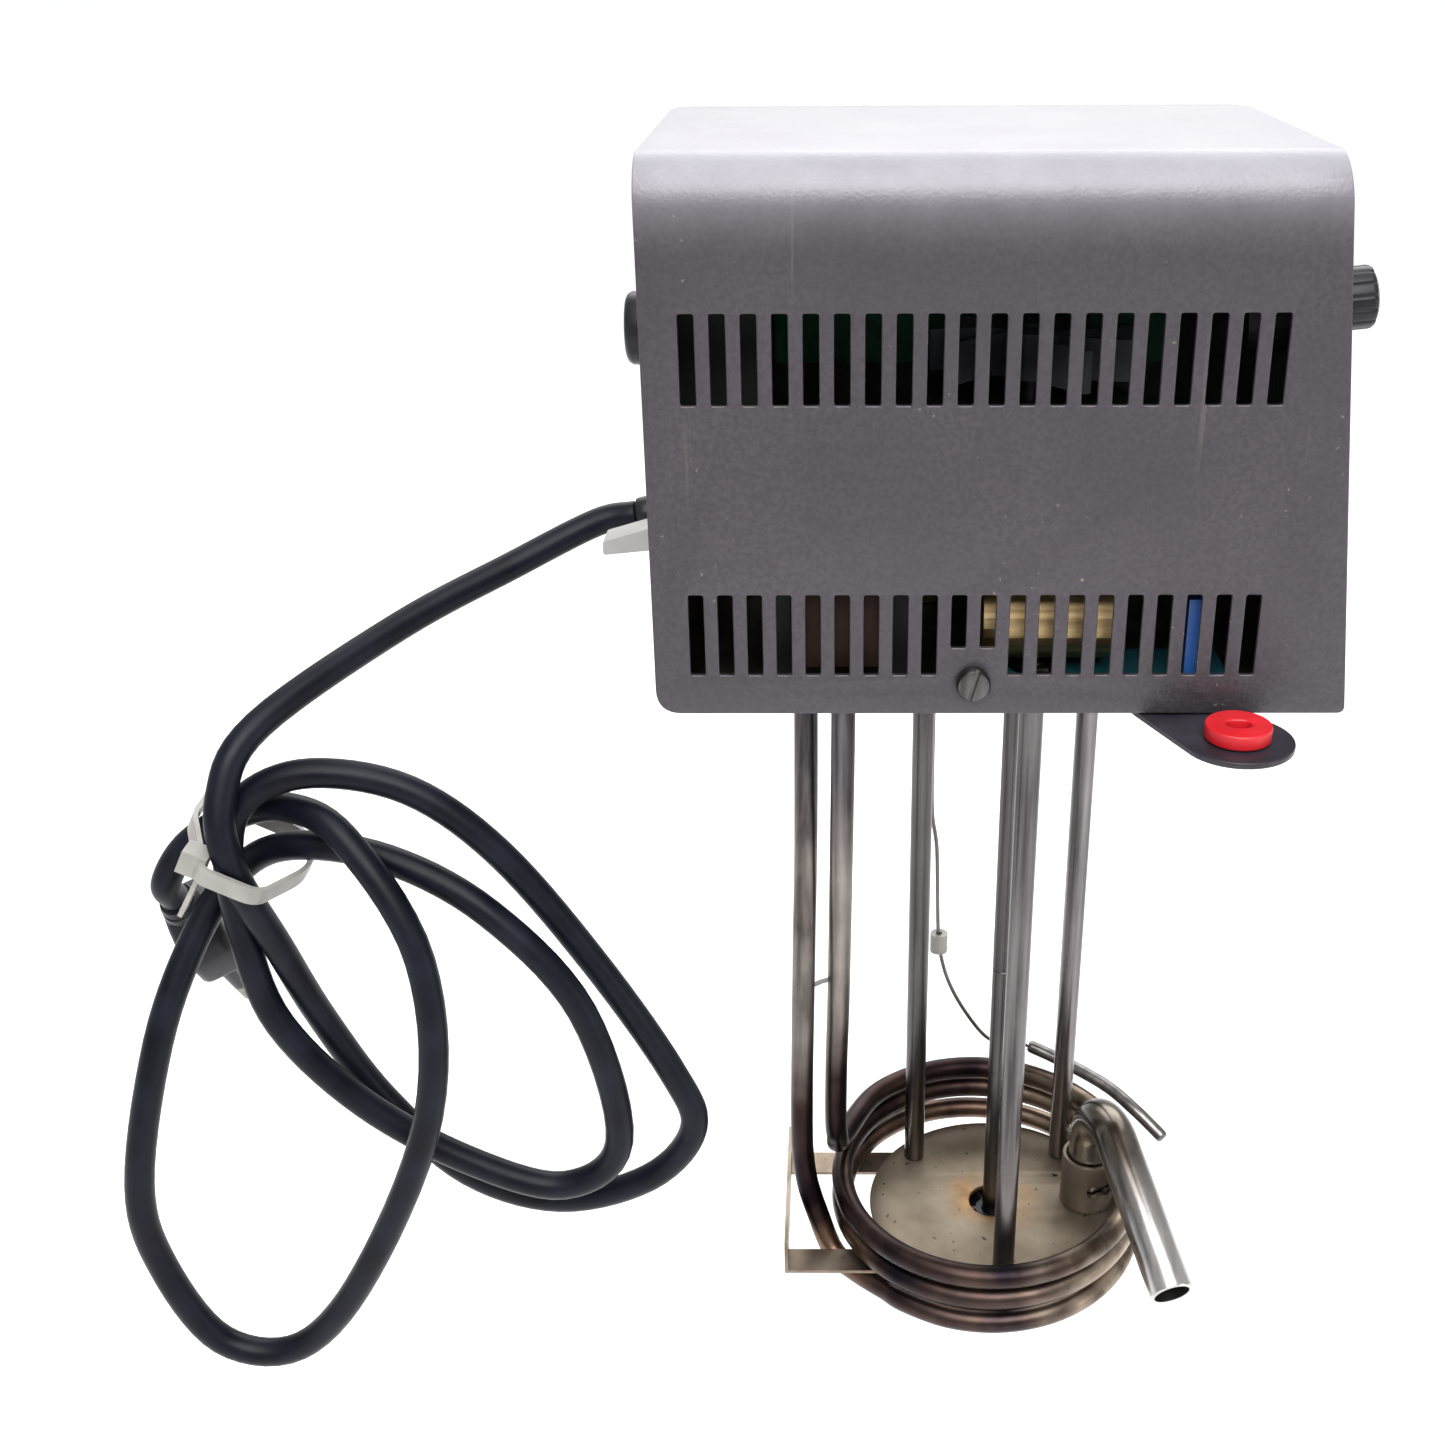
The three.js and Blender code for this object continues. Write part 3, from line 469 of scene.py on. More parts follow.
def sweep(name, line, radius, sides, wall=0.0, end_round=0.0, wobble=0.0):
    """A round tube along a line; wall makes it hollow, end_round softens its two end edges, and
    wobble makes its surface slightly uneven."""
    tangents = [(b - a).normalized() for a, b in zip([line[0], *line[:-1]], [*line[1:], line[-1]])]
    stations = [(p, t, 0.0) for p, t in zip(line, tangents)]
    if end_round:
        stations = soften_ends(stations, end_round)
    side = tangents[0].orthogonal().normalized()
    bm = bmesh.new()
    rings = []
    for place, tangent, inset in stations:
        side = (side - tangent * side.dot(tangent)).normalized()
        other = tangent.cross(side)
        size = radius - inset
        if wobble:
            size += wobble * (noise.noise(place * 60) + 0.5 * noise.noise(place * 160))
        angles = [2 * math.pi * k / sides for k in range(sides)]
        rings.append([(place, side * math.cos(a) + other * math.sin(a), size) for a in angles])
    outer = [[bm.verts.new(p + d * s) for p, d, s in ring] for ring in rings]
    bridge(bm, outer)
    if wall:
        inner = [[bm.verts.new(p + d * (s - wall)) for p, d, s in ring] for ring in rings]
        bridge(bm, inner)
        bridge(bm, [outer[0], inner[0]])
        bridge(bm, [outer[-1], inner[-1]])
    else:
        bm.faces.new(outer[0])
        bm.faces.new(outer[-1])
    return make_object(name, bm)


def soften_ends(stations, size):
    """Adds rings at both ends that curve the end edge in by size."""
    def cap(place, tangent):
        return [(place + tangent * size * (1 - math.cos(a)), tangent, size * (1 - math.sin(a)))
                for a in (0, math.pi / 6, math.pi / 3, math.pi / 2)]
    first, last = stations[0], stations[-1]
    front = cap(first[0], first[1])
    back = [(p, -t, inset) for p, t, inset in cap(last[0], -last[1])][::-1]
    return [*front, *stations[1:-1], *back]


def bridge(bm, rings):
    for a, b in zip(rings, rings[1:]):
        for k in range(len(a)):
            bm.faces.new((a[k - 1], a[k], b[k], b[k - 1]))


def place_along(point, direction):
    turn = Vector((0, 0, 1)).rotation_difference(Vector(direction).normalized()).to_matrix().to_4x4()
    return Matrix.Translation(point) @ turn


def lathe(name, profile, place, sides=48):
    """A closed piece turned about Z from (radius, height) points in millimetres, then placed. A profile
    that starts on the axis ends on it; any other one closes on itself as a ring."""
    bm = bmesh.new()
    rings = []
    for r, z in profile:
        if r == 0:
            rings.append([bm.verts.new((0, 0, z * MM))])
            continue
        angles = [2 * math.pi * k / sides for k in range(sides)]
        rings.append([bm.verts.new((r * MM * math.cos(a), r * MM * math.sin(a), z * MM)) for a in angles])
    closed = profile[0][0] != 0
    for a, b in zip(rings, rings[1:] + rings[:1] if closed else rings[1:]):
        for k in range(sides):
            corners = [a[(k - 1) % len(a)], a[k % len(a)], b[k % len(b)], b[(k - 1) % len(b)]]
            unique = list(dict.fromkeys(corners))
            if len(unique) > 2:
                bm.faces.new(unique)
    bm.transform(place)
    return make_object(name, bm)


def arc(cx, cy, radius, start, end, steps):
    angles = [math.radians(start + (end - start) * i / steps) for i in range(steps + 1)]
    return [(cx + radius * math.cos(a), cy + radius * math.sin(a)) for a in angles]


def rounded_corners(points, steps):
    """An outline from (x, y, corner size) points."""
    outline = []
    for i, (x, y, size) in enumerate(points):
        corner = Vector((x, y))
        before = Vector(points[i - 1][:2]) - corner
        after = Vector(points[(i + 1) % len(points)][:2]) - corner
        if size == 0:
            outline.append((x, y))
            continue
        start = corner + before.normalized() * size
        end = corner + after.normalized() * size
        for k in range(steps + 1):
            t = k / steps
            spot = start * (1 - t) ** 2 + corner * 2 * t * (1 - t) + end * t * t
            outline.append(tuple(spot))
    return outline


def sheet_mesh(name, outlines, thickness, edge):
    """A flat plate in X and Y with soft edges round its outline and holes; sizes in millimetres."""
    curve = bpy.data.curves.new(name, "CURVE")
    curve.dimensions = "2D"
    curve.fill_mode = "BOTH"
    curve.extrude = (thickness / 2 - edge) * MM
    curve.bevel_depth = edge * MM
    curve.bevel_resolution = 2
    curve.offset = -edge * MM
    for outline in outlines:
        spline = curve.splines.new("POLY")
        spline.points.add(len(outline) - 1)
        spline.use_cyclic_u = True
        for point, (x, y) in zip(spline.points, outline):
            point.co = (x * MM, y * MM, 0, 1)
    holder = bpy.data.objects.new(name, curve)
    bpy.context.scene.collection.objects.link(holder)
    bpy.context.view_layer.update()
    mesh = bpy.data.meshes.new_from_object(holder.evaluated_get(bpy.context.evaluated_depsgraph_get()))
    bpy.data.objects.remove(holder)
    bm = bmesh.new()
    bm.from_mesh(mesh)
    bmesh.ops.remove_doubles(bm, verts=bm.verts, dist=1e-6)
    return bm


def circle(x, y, radius, steps):
    return arc(x, y, radius, 0, 360 - 360 / steps, steps - 1)


def flat_piece(name, outlines, z0, z1, edge, place=None):
    bm = sheet_mesh(name, outlines, z1 - z0, edge)
    bm.transform(Matrix.Translation((0, 0, (z0 + z1) / 2 * MM)))
    if place is not None:
        bm.transform(place)
    return make_object(name, bm, 50)


# ---- Hood ---------------------------------------------------------------------------------------
FRONT = -51.4
BACK = 51.4
LEFT = -71.7
RIGHT_FOOT = 87.4
LEAN = 0.1038
TOP = 123.8
BACK_TOP = 122
SHEET = 1.5
SHEET_EDGE = 0.35
BEND = 10.4
SLOT_PITCH = 6.6
SLOT_MIDDLE = 9.3535
SLOT_HALF = 1.7
SLOT_CORNER = 0.5
SLOTS_IN_ROW = 20
SLOT_ROWS = ((72.5, 92.1), (9.7, 29.2))
SHORT_SLOTS = (9, 10)
SHORT_BOTTOM = 16.4
SCREW = (1.3, 8)
SCREW_HOLE = 2.3


def right_edge(z):
    """The right side leans inwards as it rises."""
    return RIGHT_FOOT - LEAN * z


def slot_outlines():
    """Two rows of slots; two slots of the lower row stop short of the screw."""
    outlines = []
    for bottom, top in SLOT_ROWS:
        for i in range(SLOTS_IN_ROW):
            short = bottom < SHORT_BOTTOM and i in SHORT_SLOTS
            low = SHORT_BOTTOM if short else bottom
            x = (i - SLOT_MIDDLE) * SLOT_PITCH
            left, right = x - SLOT_HALF, x + SLOT_HALF
            corners = ((left, low), (right, low), (right, top), (left, top))
            outlines.append(rounded_corners([(*corner, SLOT_CORNER) for corner in corners], 2))
    return outlines


def make_hood():
    """One sheet cut flat, with its slots, then bent over from the front into the top."""
    middle = BEND - SHEET / 2
    flat_end = TOP - BEND
    bend_end = flat_end + middle * math.pi / 2
    far_end = bend_end + (BACK - FRONT - BEND)
    right_side = [(right_edge(0), 0, 2)]
    bend_steps = 8
    for i in range(bend_steps + 1):
        angle = math.pi / 2 * i / bend_steps
        right_side.append((right_edge(flat_end + middle * math.sin(angle)), flat_end + middle * angle, 0))
    right_side.append((right_edge(TOP), far_end, 7))
    outline = rounded_corners([(LEFT, 0, 6), *right_side, (LEFT, far_end, 7)], 8)
    bm = sheet_mesh("hood", [outline, *slot_outlines(), circle(*SCREW, SCREW_HOLE, 24)], SHEET, SHEET_EDGE)
    cuts = 18
    for i in range(cuts + 1):
        level = (flat_end + (bend_end - flat_end) * i / cuts) * MM
        geometry = bm.verts[:] + bm.edges[:] + bm.faces[:]
        bmesh.ops.bisect_plane(bm, geom=geometry, plane_co=(0, level, 0), plane_no=(0, 1, 0), dist=1e-7)
    for vert in bm.verts:
        vert.co = bend_point(vert.co.x, vert.co.y / MM, vert.co.z / MM, flat_end, bend_end, middle)
    return make_object("hood_shell", bm, 40)


def bend_point(x, along, out, flat_end, bend_end, middle):
    """Where a point of the flat sheet lies once it is bent; along and out are in millimetres."""
    if along <= flat_end:
        return Vector((x, (FRONT + SHEET / 2 - out) * MM, along * MM))
    if along >= bend_end:
        return Vector((x, (FRONT + BEND + along - bend_end) * MM, (TOP - SHEET / 2 + out) * MM))
    angle = (along - flat_end) / middle
    radius = middle + out
    y = FRONT + BEND - radius * math.cos(angle)
    return Vector((x, y * MM, (flat_end + radius * math.sin(angle)) * MM))


def make_back():
    upper_right = (right_edge(BACK_TOP), BACK_TOP, 1)
    outline = rounded_corners([(LEFT, 0, 6), (right_edge(0), 0, 2), upper_right, (LEFT, BACK_TOP, 1)], 8)
    stand = Matrix.Rotation(math.pi / 2, 4, "X")
    place = Matrix.Translation(mm(0, BACK - SHEET / 2, 0)) @ stand
    outlines = [outline, circle(*SCREW, SCREW_HOLE, 24)]
    return flat_piece("back_shell", outlines, -SHEET / 2, SHEET / 2, SHEET_EDGE, place)


def make_screw(name, y, facing):
    """A slotted cheese-head screw; the slot is a real cut."""
    x, z = SCREW
    place = place_along(mm(x, y + facing * 0.3, z), (0, facing, 0))
    profile = [(0, -6), (2, -6), (2, 0), (3.9, 0), (3.9, 1.9), (3.5, 2.5), (3.1, 2.6), (0, 2.6)]
    head = lathe(name, profile, place)
    cutter = bmesh.new()
    bmesh.ops.create_cube(cutter, size=1)
    size = Matrix.Diagonal((1.1 * MM, 2.4 * MM, 12 * MM, 1))
    tilt = Matrix.Rotation(math.radians(15), 4, "Y")
    cutter.transform(Matrix.Translation(mm(x, y + facing * 2.9, z)) @ tilt @ size)
    return carve(head, cutter)


def carve(piece, *cutters):
    """Cuts the cutters' shapes out of a piece."""
    for bm in cutters:
        cutter = make_object("cutter", bm)
        modifier = piece.modifiers.new("cut", "BOOLEAN")
        modifier.object = cutter
        modifier.operation = "DIFFERENCE"
        modifier.solver = "EXACT"
        bpy.context.view_layer.update()
        mesh = bpy.data.meshes.new_from_object(piece.evaluated_get(bpy.context.evaluated_depsgraph_get()))
        piece.modifiers.clear()
        piece.data = mesh
        bpy.data.objects.remove(cutter)
    piece.data.shade_smooth()
    piece.data.set_sharp_from_angle(angle=math.radians(35))
    return piece


def add_hood():
    settle(make_hood(), "head", "paint", "paint", "hood_cover")
    settle(make_back(), "head", "paint", "paint", "back_cover")
    settle(make_screw("front_screw", FRONT, -1), "head", "steel", "shaded_rod", "hood_screw")
    settle(make_screw("rear_screw", BACK, 1), "head", "steel", "shaded_rod", "back_screw")


# ---- Controls -----------------------------------------------------------------------------------
KNOB_Y = -26.4
KNOB_Z = 89.2
KNOB_SEAT_FOOT = 84.9
KNOB_RADIUS = 6.98
DIAL_SEAT = (-69.2, -9.4, 80.3)


def add_controls():
    """The knob sits on the leaning right panel, the dial on the upright left one."""
    place = place_along(mm(KNOB_SEAT_FOOT - LEAN * KNOB_Z, KNOB_Y, KNOB_Z), (1, 0, LEAN))
    settle(make_knob(place), "knob", "black", "black", "control_knob")
    cap = [(0, 12.3), (5.5, 12.3), (5.5, 13.3), (5.2, 13.7), (4, 13.95), (2, 14.08), (0, 14.1)]
    settle(lathe("knob_face", cap, place), "knob", "grey", "grey", "knob_cap")
    out = place_along(mm(*DIAL_SEAT), (-1, 0, 0))
    dial = [(0, -2.2), (2.5, -2.2), (2.5, 0.3), (8.5, 0.3), (8.75, 0.6), (8.6, 5), (8.4, 8.4), (7.9, 9.3),
            (7, 9.8), (2.8, 9.9), (2.6, 9.5), (0, 9.5)]
    settle(lathe("dial_knob", dial, out), "dial", "black", "black", "limit_dial")


def make_knob(place):
    """A cylinder with narrow grooves along it, a softened rim and a recess for its cap."""
    grooves = 14
    sides = grooves * 12
    outline = []
    for i in range(sides):
        angle = 2 * math.pi * i / sides
        radius = KNOB_RADIUS - 0.3 * max(math.cos(grooves * angle), 0) ** 6
        outline.append((radius * math.cos(angle), radius * math.sin(angle)))
    bm = bmesh.new()
    heights_and_scales = [(0.8, 0.985), (1.1, 1.0), (12, 1.0), (12.7, 0.98), (13.1, 0.94), (13.2, 0.88),
                          (12.1, 0.86)]
    rings = [[bm.verts.new((x * scale * MM, y * scale * MM, z * MM)) for x, y in outline]
             for z, scale in heights_and_scales]
    bridge(bm, rings)
    bm.faces.new(rings[0])
    bm.faces.new(rings[-1])
    bm.transform(place)
    return make_object("ribbed_knob", bm, 50)


# ---- Rods, drive and pump -----------------------------------------------------------------------
SHAFT = (16.7, -4.05)
RODS = {"left": (-6.1, 16.4), "right": (39.0, 17.8), "front": (17.1, -34.8)}
# Each rod's look carries its own painted light and shade.
ROD_LOOKS = {"left": "shaded_rod", "right": "rod", "front": "half_shaded_front_rod"}
ROD_BOTTOM = -183
ROD_TOP = 6.7
SHAFT_BOTTOM = -190.2
SHAFT_TOP = 78.6
SHAFT_GROOVE = -100.1
OUTLET = (44.9, -2.8)
OUTLET_HOLE = 5.5
PLATE_RADIUS = 36.9
PLATE_EYE = 7
PLATE_BOTTOM = -184.8
PLATE_TOP = -183.3
PIN_HOLE = (36.9, 7.7)
CUP_MIDDLE = 19.5
TUBE_RADIUS = 6
TUBE_WALL = 0.8


def add_rods():
    profile = [(0, ROD_BOTTOM), (2.6, ROD_BOTTOM), (3, ROD_BOTTOM + 0.4),
               (3, ROD_TOP - 0.4), (2.6, ROD_TOP), (0, ROD_TOP)]
    for side, (x, y) in RODS.items():
        rod = lathe(f"steel_rod_{side}", profile, Matrix.Translation(mm(x, y, 0)))
        settle(rod, "head", "steel", ROD_LOOKS[side], f"rod_{side}")
    groove = [(3, SHAFT_GROOVE - 0.5), (2.85, SHAFT_GROOVE - 0.3),
              (2.85, SHAFT_GROOVE + 0.3), (3, SHAFT_GROOVE + 0.5)]
    profile = [(0, SHAFT_BOTTOM), (3, SHAFT_BOTTOM), *groove,
               (3, SHAFT_TOP - 0.4), (2.6, SHAFT_TOP), (0, SHAFT_TOP)]
    shaft = lathe("drive_shaft", profile, Matrix.Translation(mm(*SHAFT, 0)))
    settle(shaft, "rotor", "steel", "shaded_rod", "pump_shaft")


def add_pump():
    outlines = [circle(*SHAFT, PLATE_RADIUS, 128), circle(*SHAFT, PLATE_EYE, 64),
                circle(*PIN_HOLE, 0.75, 16), circle(*OUTLET, OUTLET_HOLE, 40)]
    plate = flat_piece("pump_top_plate", outlines, PLATE_BOTTOM, PLATE_TOP, 0.3)
    settle(plate, "head", "pump", "pump", "pump_plate")
    cup = [(0, -192), (32.6, -192), (33.6, -191.6), (34, -190.6), (34, -185.3), (33.8, -185.1), (33, -185.1),
           (32.8, -185.3), (32.8, -190.2), (32.2, -190.8), (0, -190.8)]
    housing = lathe("pump_cup", cup, Matrix.Translation(mm(CUP_MIDDLE, SHAFT[1], 0)), 96)
    settle(housing, "head", "pump", "pump", "pump_housing")
    settle(make_socket(), "head", "pump", "pump", "outlet_socket")
    elbow = sweep("outlet_tube", elbow_line(), TUBE_RADIUS * MM, 56, TUBE_WALL * MM, 0.3 * MM)
    settle(elbow, "outlet", "steel", "elbow", "outlet_elbow")


def make_socket():
    """A short collar with a bayonet slot that ends in a round hole."""
    wall = [(6.6, -182.8), (6.9, -183), (7.5, -183), (7.8, -182.7),
            (7.8, -166.6), (7.6, -166.3), (6.8, -166.3), (6.6, -166.5)]
    place = Matrix.Translation(mm(*OUTLET, 0))
    collar = lathe("bayonet_collar", wall, place, 72)
    hole_angle = math.radians(-85)
    slot_turn = math.radians(55)
    slot = bmesh.new()
    inner, outer = 5.5 * MM, 9 * MM
    low, high = mm(0, 0, -176.3), mm(0, 0, -173.3)
    steps = 14
    rings = []
    for i in range(steps + 1):
        angle = hole_angle + slot_turn * i / steps
        out = Vector((math.cos(angle), math.sin(angle), 0))
        rings.append([slot.verts.new(v) for v in (out * inner + low, out * outer + low,
                                                  out * outer + high, out * inner + high)])
    bridge(slot, rings)
    slot.faces.new(rings[0])
    slot.faces.new(rings[-1])
    slot.transform(place)
    hole = bmesh.new()
    radius = 1.9 * MM
    bmesh.ops.create_cone(hole, cap_ends=True, segments=24, radius1=radius, radius2=radius, depth=6 * MM)
    out = Vector((math.cos(hole_angle), math.sin(hole_angle), 0))
    hole.transform(place @ place_along(out * 7.2 * MM + (low + high) / 2, out))
    return carve(collar, slot, hole)


def elbow_line():
    """Up from the socket, over a bend, then straight on and down; bend is the bend's radius."""
    heading = Vector((0.25, -0.968, 0))
    foot, springing, bend, turn, reach = -181, -160.4, 13, 115, 44.4
    axis = mm(*OUTLET, 0)

    def point(out, z):
        return axis + heading * out * MM + mm(0, 0, z)

    line = [point(0, foot), point(0, (foot + springing) / 2)]
    steps = 26
    for i in range(steps + 1):
        angle = math.radians(turn * i / steps)
        line.append(point(bend * (1 - math.cos(angle)), springing + bend * math.sin(angle)))
    angle = math.radians(turn)
    out, z = bend * (1 - math.cos(angle)), springing + bend * math.sin(angle)
    for share in (0.25, 0.5, 0.75, 1):
        line.append(point(out + reach * share * math.sin(angle), z + reach * share * math.cos(angle)))
    return line


# ---- Heater, guard and probe --------------------------------------------------------------------
COIL_MIDDLE = (14.4, -4.05)
COIL_RADIUS = 42.8
COIL_TOP = -166
COIL_PITCH = 7.4
COIL_TURNS = 2.8
COIL_TILT = 1.9
HEATER_RADIUS = 3.2
CLIP_HEIGHT = -103.6


def coil_point(turns):
    """A tilted helix, a little wider spaced before its last turn."""
    angle = math.pi - 2 * math.pi * turns
    spread = 1.2 * min(max((turns - 1.9) / 0.4, 0), 1)
    x = COIL_MIDDLE[0] + COIL_RADIUS * math.cos(angle)
    y = COIL_MIDDLE[1] + COIL_RADIUS * math.sin(angle)
    return (x, y, COIL_TOP - COIL_PITCH * turns - spread + COIL_TILT * math.sin(angle))


HEATER_DOWN = [(-28.2, -5.7, 14), (-28.3, -5.7, -24.4), (-28.8, -5.7, -61.8), (-29.6, -4.7, -110.9),
               (-30.2, -4.7, -131.6), (-30.4, -4.6, -152), (-29.9, -3.3, -159.5), (-29, 0.8, -164.2)]
HEATER_UP = [(-16.3, -33, -190.6), (-24.6, -26, -190.4), (-31, -20, -188.6), (-35.8, -15, -178.4),
             (-38.7, -12, -169.8), (-39.9, -10.5, -161.1), (-40.2, -10.5, -152), (-40, -10, -132.9),
             (-39.5, -8.5, -108.3), (-39, -5.7, -85.5), (-38.5, -2.8, -63.4), (-38.2, 1.9, -27.9),
             (-38, 2, 14)]
CAPILLARY = [(-3, 22.6, 12), (-3, 22.6, -15), (-3, 22.6, -40.8), (-2.7, 23.6, -64.8), (-1, 23.6, -78.2),
             (0, 23.6, -105.4), (1.8, 24, -117.9), (5.8, 25.5, -129.6), (12.5, 28.3, -142.5),
             (17.6, 31.1, -149.8), (23.8, 35.4, -155.2), (30.2, 40.1, -158.5)]
BULB = [(30.8, 40.5, -158.8), (40.5, 35.8, -161.1), (53.6, 26.4, -163.7), (61.8, 17.9, -166.7),
        (70, 11.3, -172.4)]
CAPILLARY_RADIUS = 0.6
BULB_RADIUS = 2


def add_heater():
    steps = 56
    coil = [coil_point(0.05 + COIL_TURNS * i / steps) for i in range(1, steps + 1)]
    line = curve_through([mm(*p) for p in [*HEATER_DOWN, *coil, *HEATER_UP]], 5)
    tube = sweep("heater_tube", line, HEATER_RADIUS * MM, 28, end_round=0.3 * MM, wobble=0.03 * MM)
    settle(tube, "head", "heater", "heater", "heater_coil")
    outer_end = mm(-36.4, -7.8, CLIP_HEIGHT)
    inner_end = mm(-32.4, -5.3, CLIP_HEIGHT)
    link = sweep("heater_clip", [outer_end, mm(-34.4, -6.6, CLIP_HEIGHT + 0.2), inner_end], 0.7 * MM, 12)
    settle(link, "head", "steel", "nylon", "heater_link")


def add_probe():
    line = curve_through([mm(*p) for p in CAPILLARY], 6)
    wire = sweep("capillary_wire", line, CAPILLARY_RADIUS * MM, 12)
    settle(wire, "head", "steel", "steel", "capillary")
    line = curve_through([mm(*p) for p in BULB], 8)
    bulb = sweep("probe_bulb", line, BULB_RADIUS * MM, 24, end_round=1.2 * MM)
    settle(bulb, "head", "steel", "steel", "thermostat_bulb")


# ---- Swivel arm ---------------------------------------------------------------------------------
ARM_PIVOT = (47.6, -44.8)
ARM_TIP = (60.1, -63.7)
ARM_BOTTOM = -2
ARM_TOP = -0.5
BUSH_BOTTOM = -0.2
BUSH_TOP = 3.2
BUSH_RADIUS = 7.5


def add_arm():
    """A flat arm whose two straight flanks touch a small round end and a large one."""
    pivot, tip = Vector(ARM_PIVOT), Vector(ARM_TIP)
    small, large = 9, 12.8
    along = math.degrees(math.atan2(tip.y - pivot.y, tip.x - pivot.x))
    flank = math.degrees(math.acos((small - large) / (tip - pivot).length))
    outline = [*arc(*pivot, small, along + flank, along - flank + 360, 30),
               *arc(*tip, large, along - flank, along + flank, 40)]
    arm = flat_piece("arm_plate", [outline, circle(*pivot, 2.3, 24)], ARM_BOTTOM, ARM_TOP, 0.25)
    settle(arm, "arm", "black", "arm", "swivel_arm")
    offset, radius = 0.8, 2.1
    slot = [*arc(tip.x + offset, tip.y, radius, 90, -90, 12),
            *arc(tip.x - offset, tip.y, radius, -90, -270, 12)]
    bush = flat_piece("red_ring", [circle(*tip, BUSH_RADIUS, 64), slot], BUSH_BOTTOM, BUSH_TOP, 0.4)
    settle(bush, "arm", "red", "red", "red_bush")


# ---- Mains lead ---------------------------------------------------------------------------------
# The same points as the lead in the frame, in millimetres: three loops, tied near the plug.
LEAD_ROUTE = [
    (-81.5, 11.3, 27.8), (-92, 10.8, 25.8), (-113, 1, 17.5), (-138, -19, 9), (-165, -51, -3),
    (-172, -62, -16), (-171, -66, -32), (-165, -60, -58), (-159, -54, -83), (-147, -52, -109),
    (-127, -53, -132), (-103, -54, -140), (-79, -55, -132), (-67, -55, -116), (-72, -55, -98),
    (-90, -54, -66), (-111, -53, -36), (-131, -53, -19), (-153, -54, -14), (-168, -56, -19),
    (-174, -58, -31), (-173, -60, -55), (-167, -62, -79), (-149, -62, -103), (-124, -62, -121),
    (-100, -63, -128), (-85, -64, -113), (-92, -64, -74), (-113, -61, -48), (-137, -56, -36),
    (-161, -51, -35), (-176, -49, -43), (-186, -57, -57), (-195, -68, -80), (-203, -76, -117),
    (-201, -77, -142), (-189, -78, -166), (-169, -78, -168), (-149, -78, -143), (-129, -76, -96),
    (-128, -71, -55), (-145, -61, -28), (-161, -52, -24), (-177, -46, -30), (-189, -46, -38),
    (-195.5, -46.5, -48), (-196, -42, -55),
]
LEAD_DIAMETER = 0.0072
RELIEF_SEAT = (-69.2, 11.3, 29.7)
RELIEF_AXIS = (-1, 0, -0.155)
PLUG_END = (-196, -41.8, -55.3)
PLUG_AXIS = (0.1, 0.55, -0.83)
PLUG_ACROSS = (0.45, -0.7, -0.5)


def add_lead():
    line = curve_through([mm(*p) for p in LEAD_ROUTE], 7)
    lead = sweep("lead", line, LEAD_DIAMETER / 2, 24, end_round=0.4 * MM)
    settle(lead, "head", "rubber", "rubber", "mains_cord")
    plug = settle(make_plug(), "head", "rubber", "black", "plug_body")
    relief = settle(make_relief(), "head", "rubber", "black", "strain_relief")


def make_relief():
    """A tapering sleeve with three shallow grooves."""
    grooves = [(4.95, 1.4), (4.95, 2.4), (5.05, 2.8), (4.8, 4.4), (4.6, 4.6), (4.6, 5.6), (4.7, 6),
               (4.5, 7.6), (4.35, 7.8), (4.35, 8.8), (4.45, 9.2)]
    profile = [(0, -9), (4, -9), (5.2, -8), (5.2, 1), *grooves, (4.2, 11.6), (4, 12), (0, 12)]
    return lathe("lead_relief", profile, place_along(mm(*RELIEF_SEAT), RELIEF_AXIS))


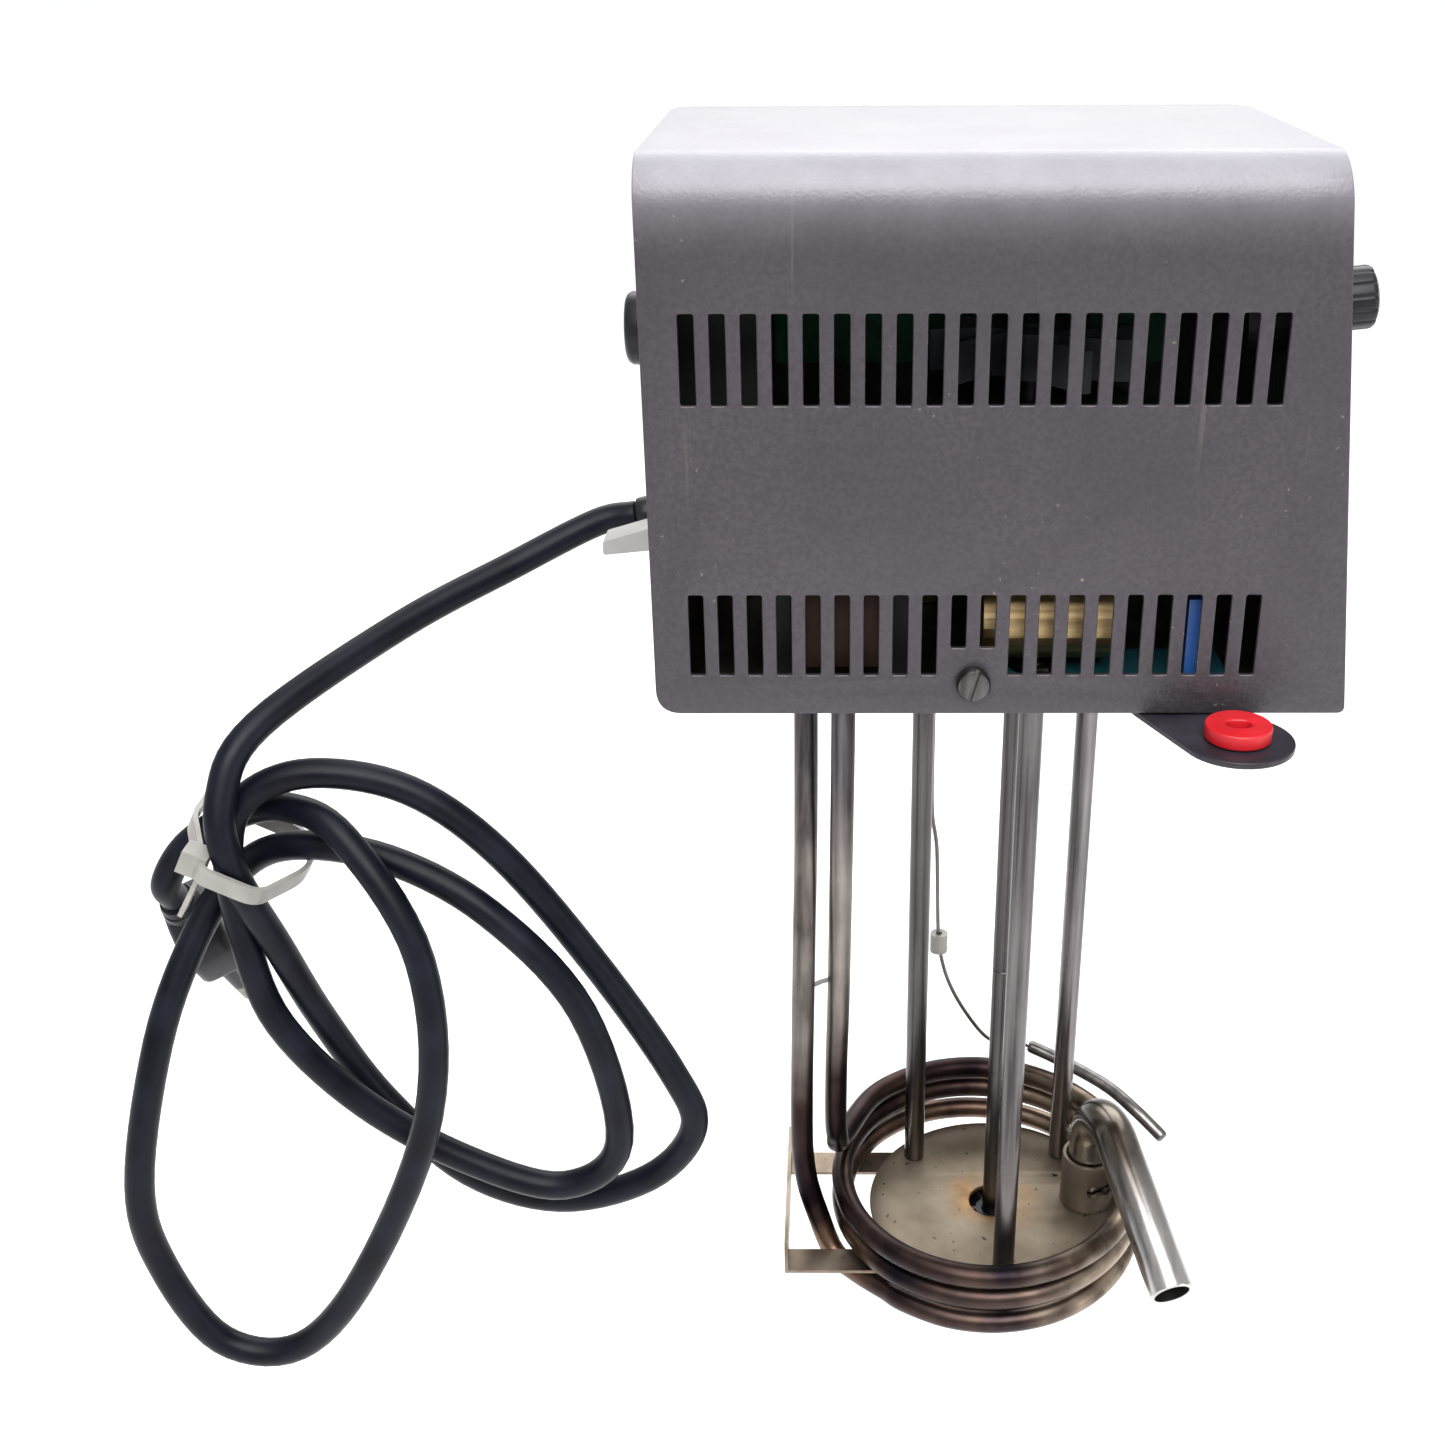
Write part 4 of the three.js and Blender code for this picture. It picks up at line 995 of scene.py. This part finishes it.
def make_plug():
    """A flat moulded plug: broad at the pins, drawn in to a round collar at the lead. Each section is
    a height, half a width and half a thickness."""
    collar = [(0.6, 4.4, 4.4), (2.2, 4.9, 4.9), (2.4, 4.6, 4.6), (3.2, 4.6, 4.6), (3.4, 5.1, 5.1),
              (4.8, 5.4, 5.4), (5.0, 5.0, 5.0), (5.8, 5.1, 5.1)]
    body = [(6.4, 6.0, 5.8), (8.0, 7.6, 6.2), (10, 10.2, 6.4), (12, 11.7, 6.5), (15, 12.2, 6.5),
            (22.6, 12.5, 6.5), (23.6, 12.3, 6.3), (24, 11.7, 5.7)]
    round_power, square_power, collar_end = 2, 6, 6
    sides = 48
    z = Vector(PLUG_AXIS).normalized()
    y = z.cross(Vector(PLUG_ACROSS)).normalized()
    x = y.cross(z)
    place = Matrix((x, y, z)).transposed().to_4x4()
    place.translation = mm(*PLUG_END)
    bm = bmesh.new()
    rings = []
    for height, wide, thick in [*collar, *body]:
        power = round_power + max(height - collar_end, 0) * 0.8
        power = min(power, square_power)
        ring = []
        for k in range(sides):
            angle = 2 * math.pi * k / sides
            c, s = math.cos(angle), math.sin(angle)
            across = wide * math.copysign(abs(c) ** (2 / power), c)
            through = thick * math.copysign(abs(s) ** (2 / power), s)
            ring.append(bm.verts.new(mm(across, through, height)))
        rings.append(ring)
    bridge(bm, rings)
    bm.faces.new(rings[0])
    bm.faces.new(rings[-1])
    bm.transform(place)
    return make_object("moulded_plug", bm, 50)


# ---- Frame pieces that keep their own shape -----------------------------------------------------
KEPT = {
    "base_plate": "zinc", "left_panel": "panel", "right_panel": "panel", "control_pot": "iron",
    "thermostat_body": "iron", "switch_paddle": "white", "switch_body": "black", "rod_nut_left": "steel",
    "rod_nut_right": "steel", "rod_nut_front": "steel", "cooling_fan": "grey", "impeller": "black",
    "motor_mount": "zinc", "motor": "iron", "shaft_bush": "brass", "elbow_pin": "steel",
    "heater_gland_inner": "brass", "heater_gland_outer": "brass",
    "guard_bracket": "zinc", "capillary_tie": "nylon", "arm_pivot": "steel", "power_board": "teal_board",
    "motor_capacitor": "brass", "filter_capacitor": "blue", "control_board": "board",
    "board_spacer_left": "white", "board_spacer_right": "white", "terminal_block": "white",
    "transformer_core": "iron", "transformer_winding": "winding", "cord_tie": "nylon",
    "plug_pin_left": "pin", "plug_pin_right": "pin",
}


def dress_frame():
    for name, look in KEPT.items():
        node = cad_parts[name]
        node.data.materials.clear()
        node.data.materials.append(LOOKS[look].material)
        node.data.shade_smooth()
        node.data.set_sharp_from_angle(angle=math.radians(32))
        soften = node.modifiers.new("soft_edges", "BEVEL")
        soften.width = 0.2 * MM
        soften.segments = 2
        soften.limit_method = "ANGLE"
        soften.angle_limit = math.radians(40)
        soften.harden_normals = True


LOOKS = make_looks()
add_camera()
add_lead()
add_stage()
add_hood()
add_controls()
add_rods()
add_pump()
add_heater()
add_probe()
add_arm()
dress_frame()
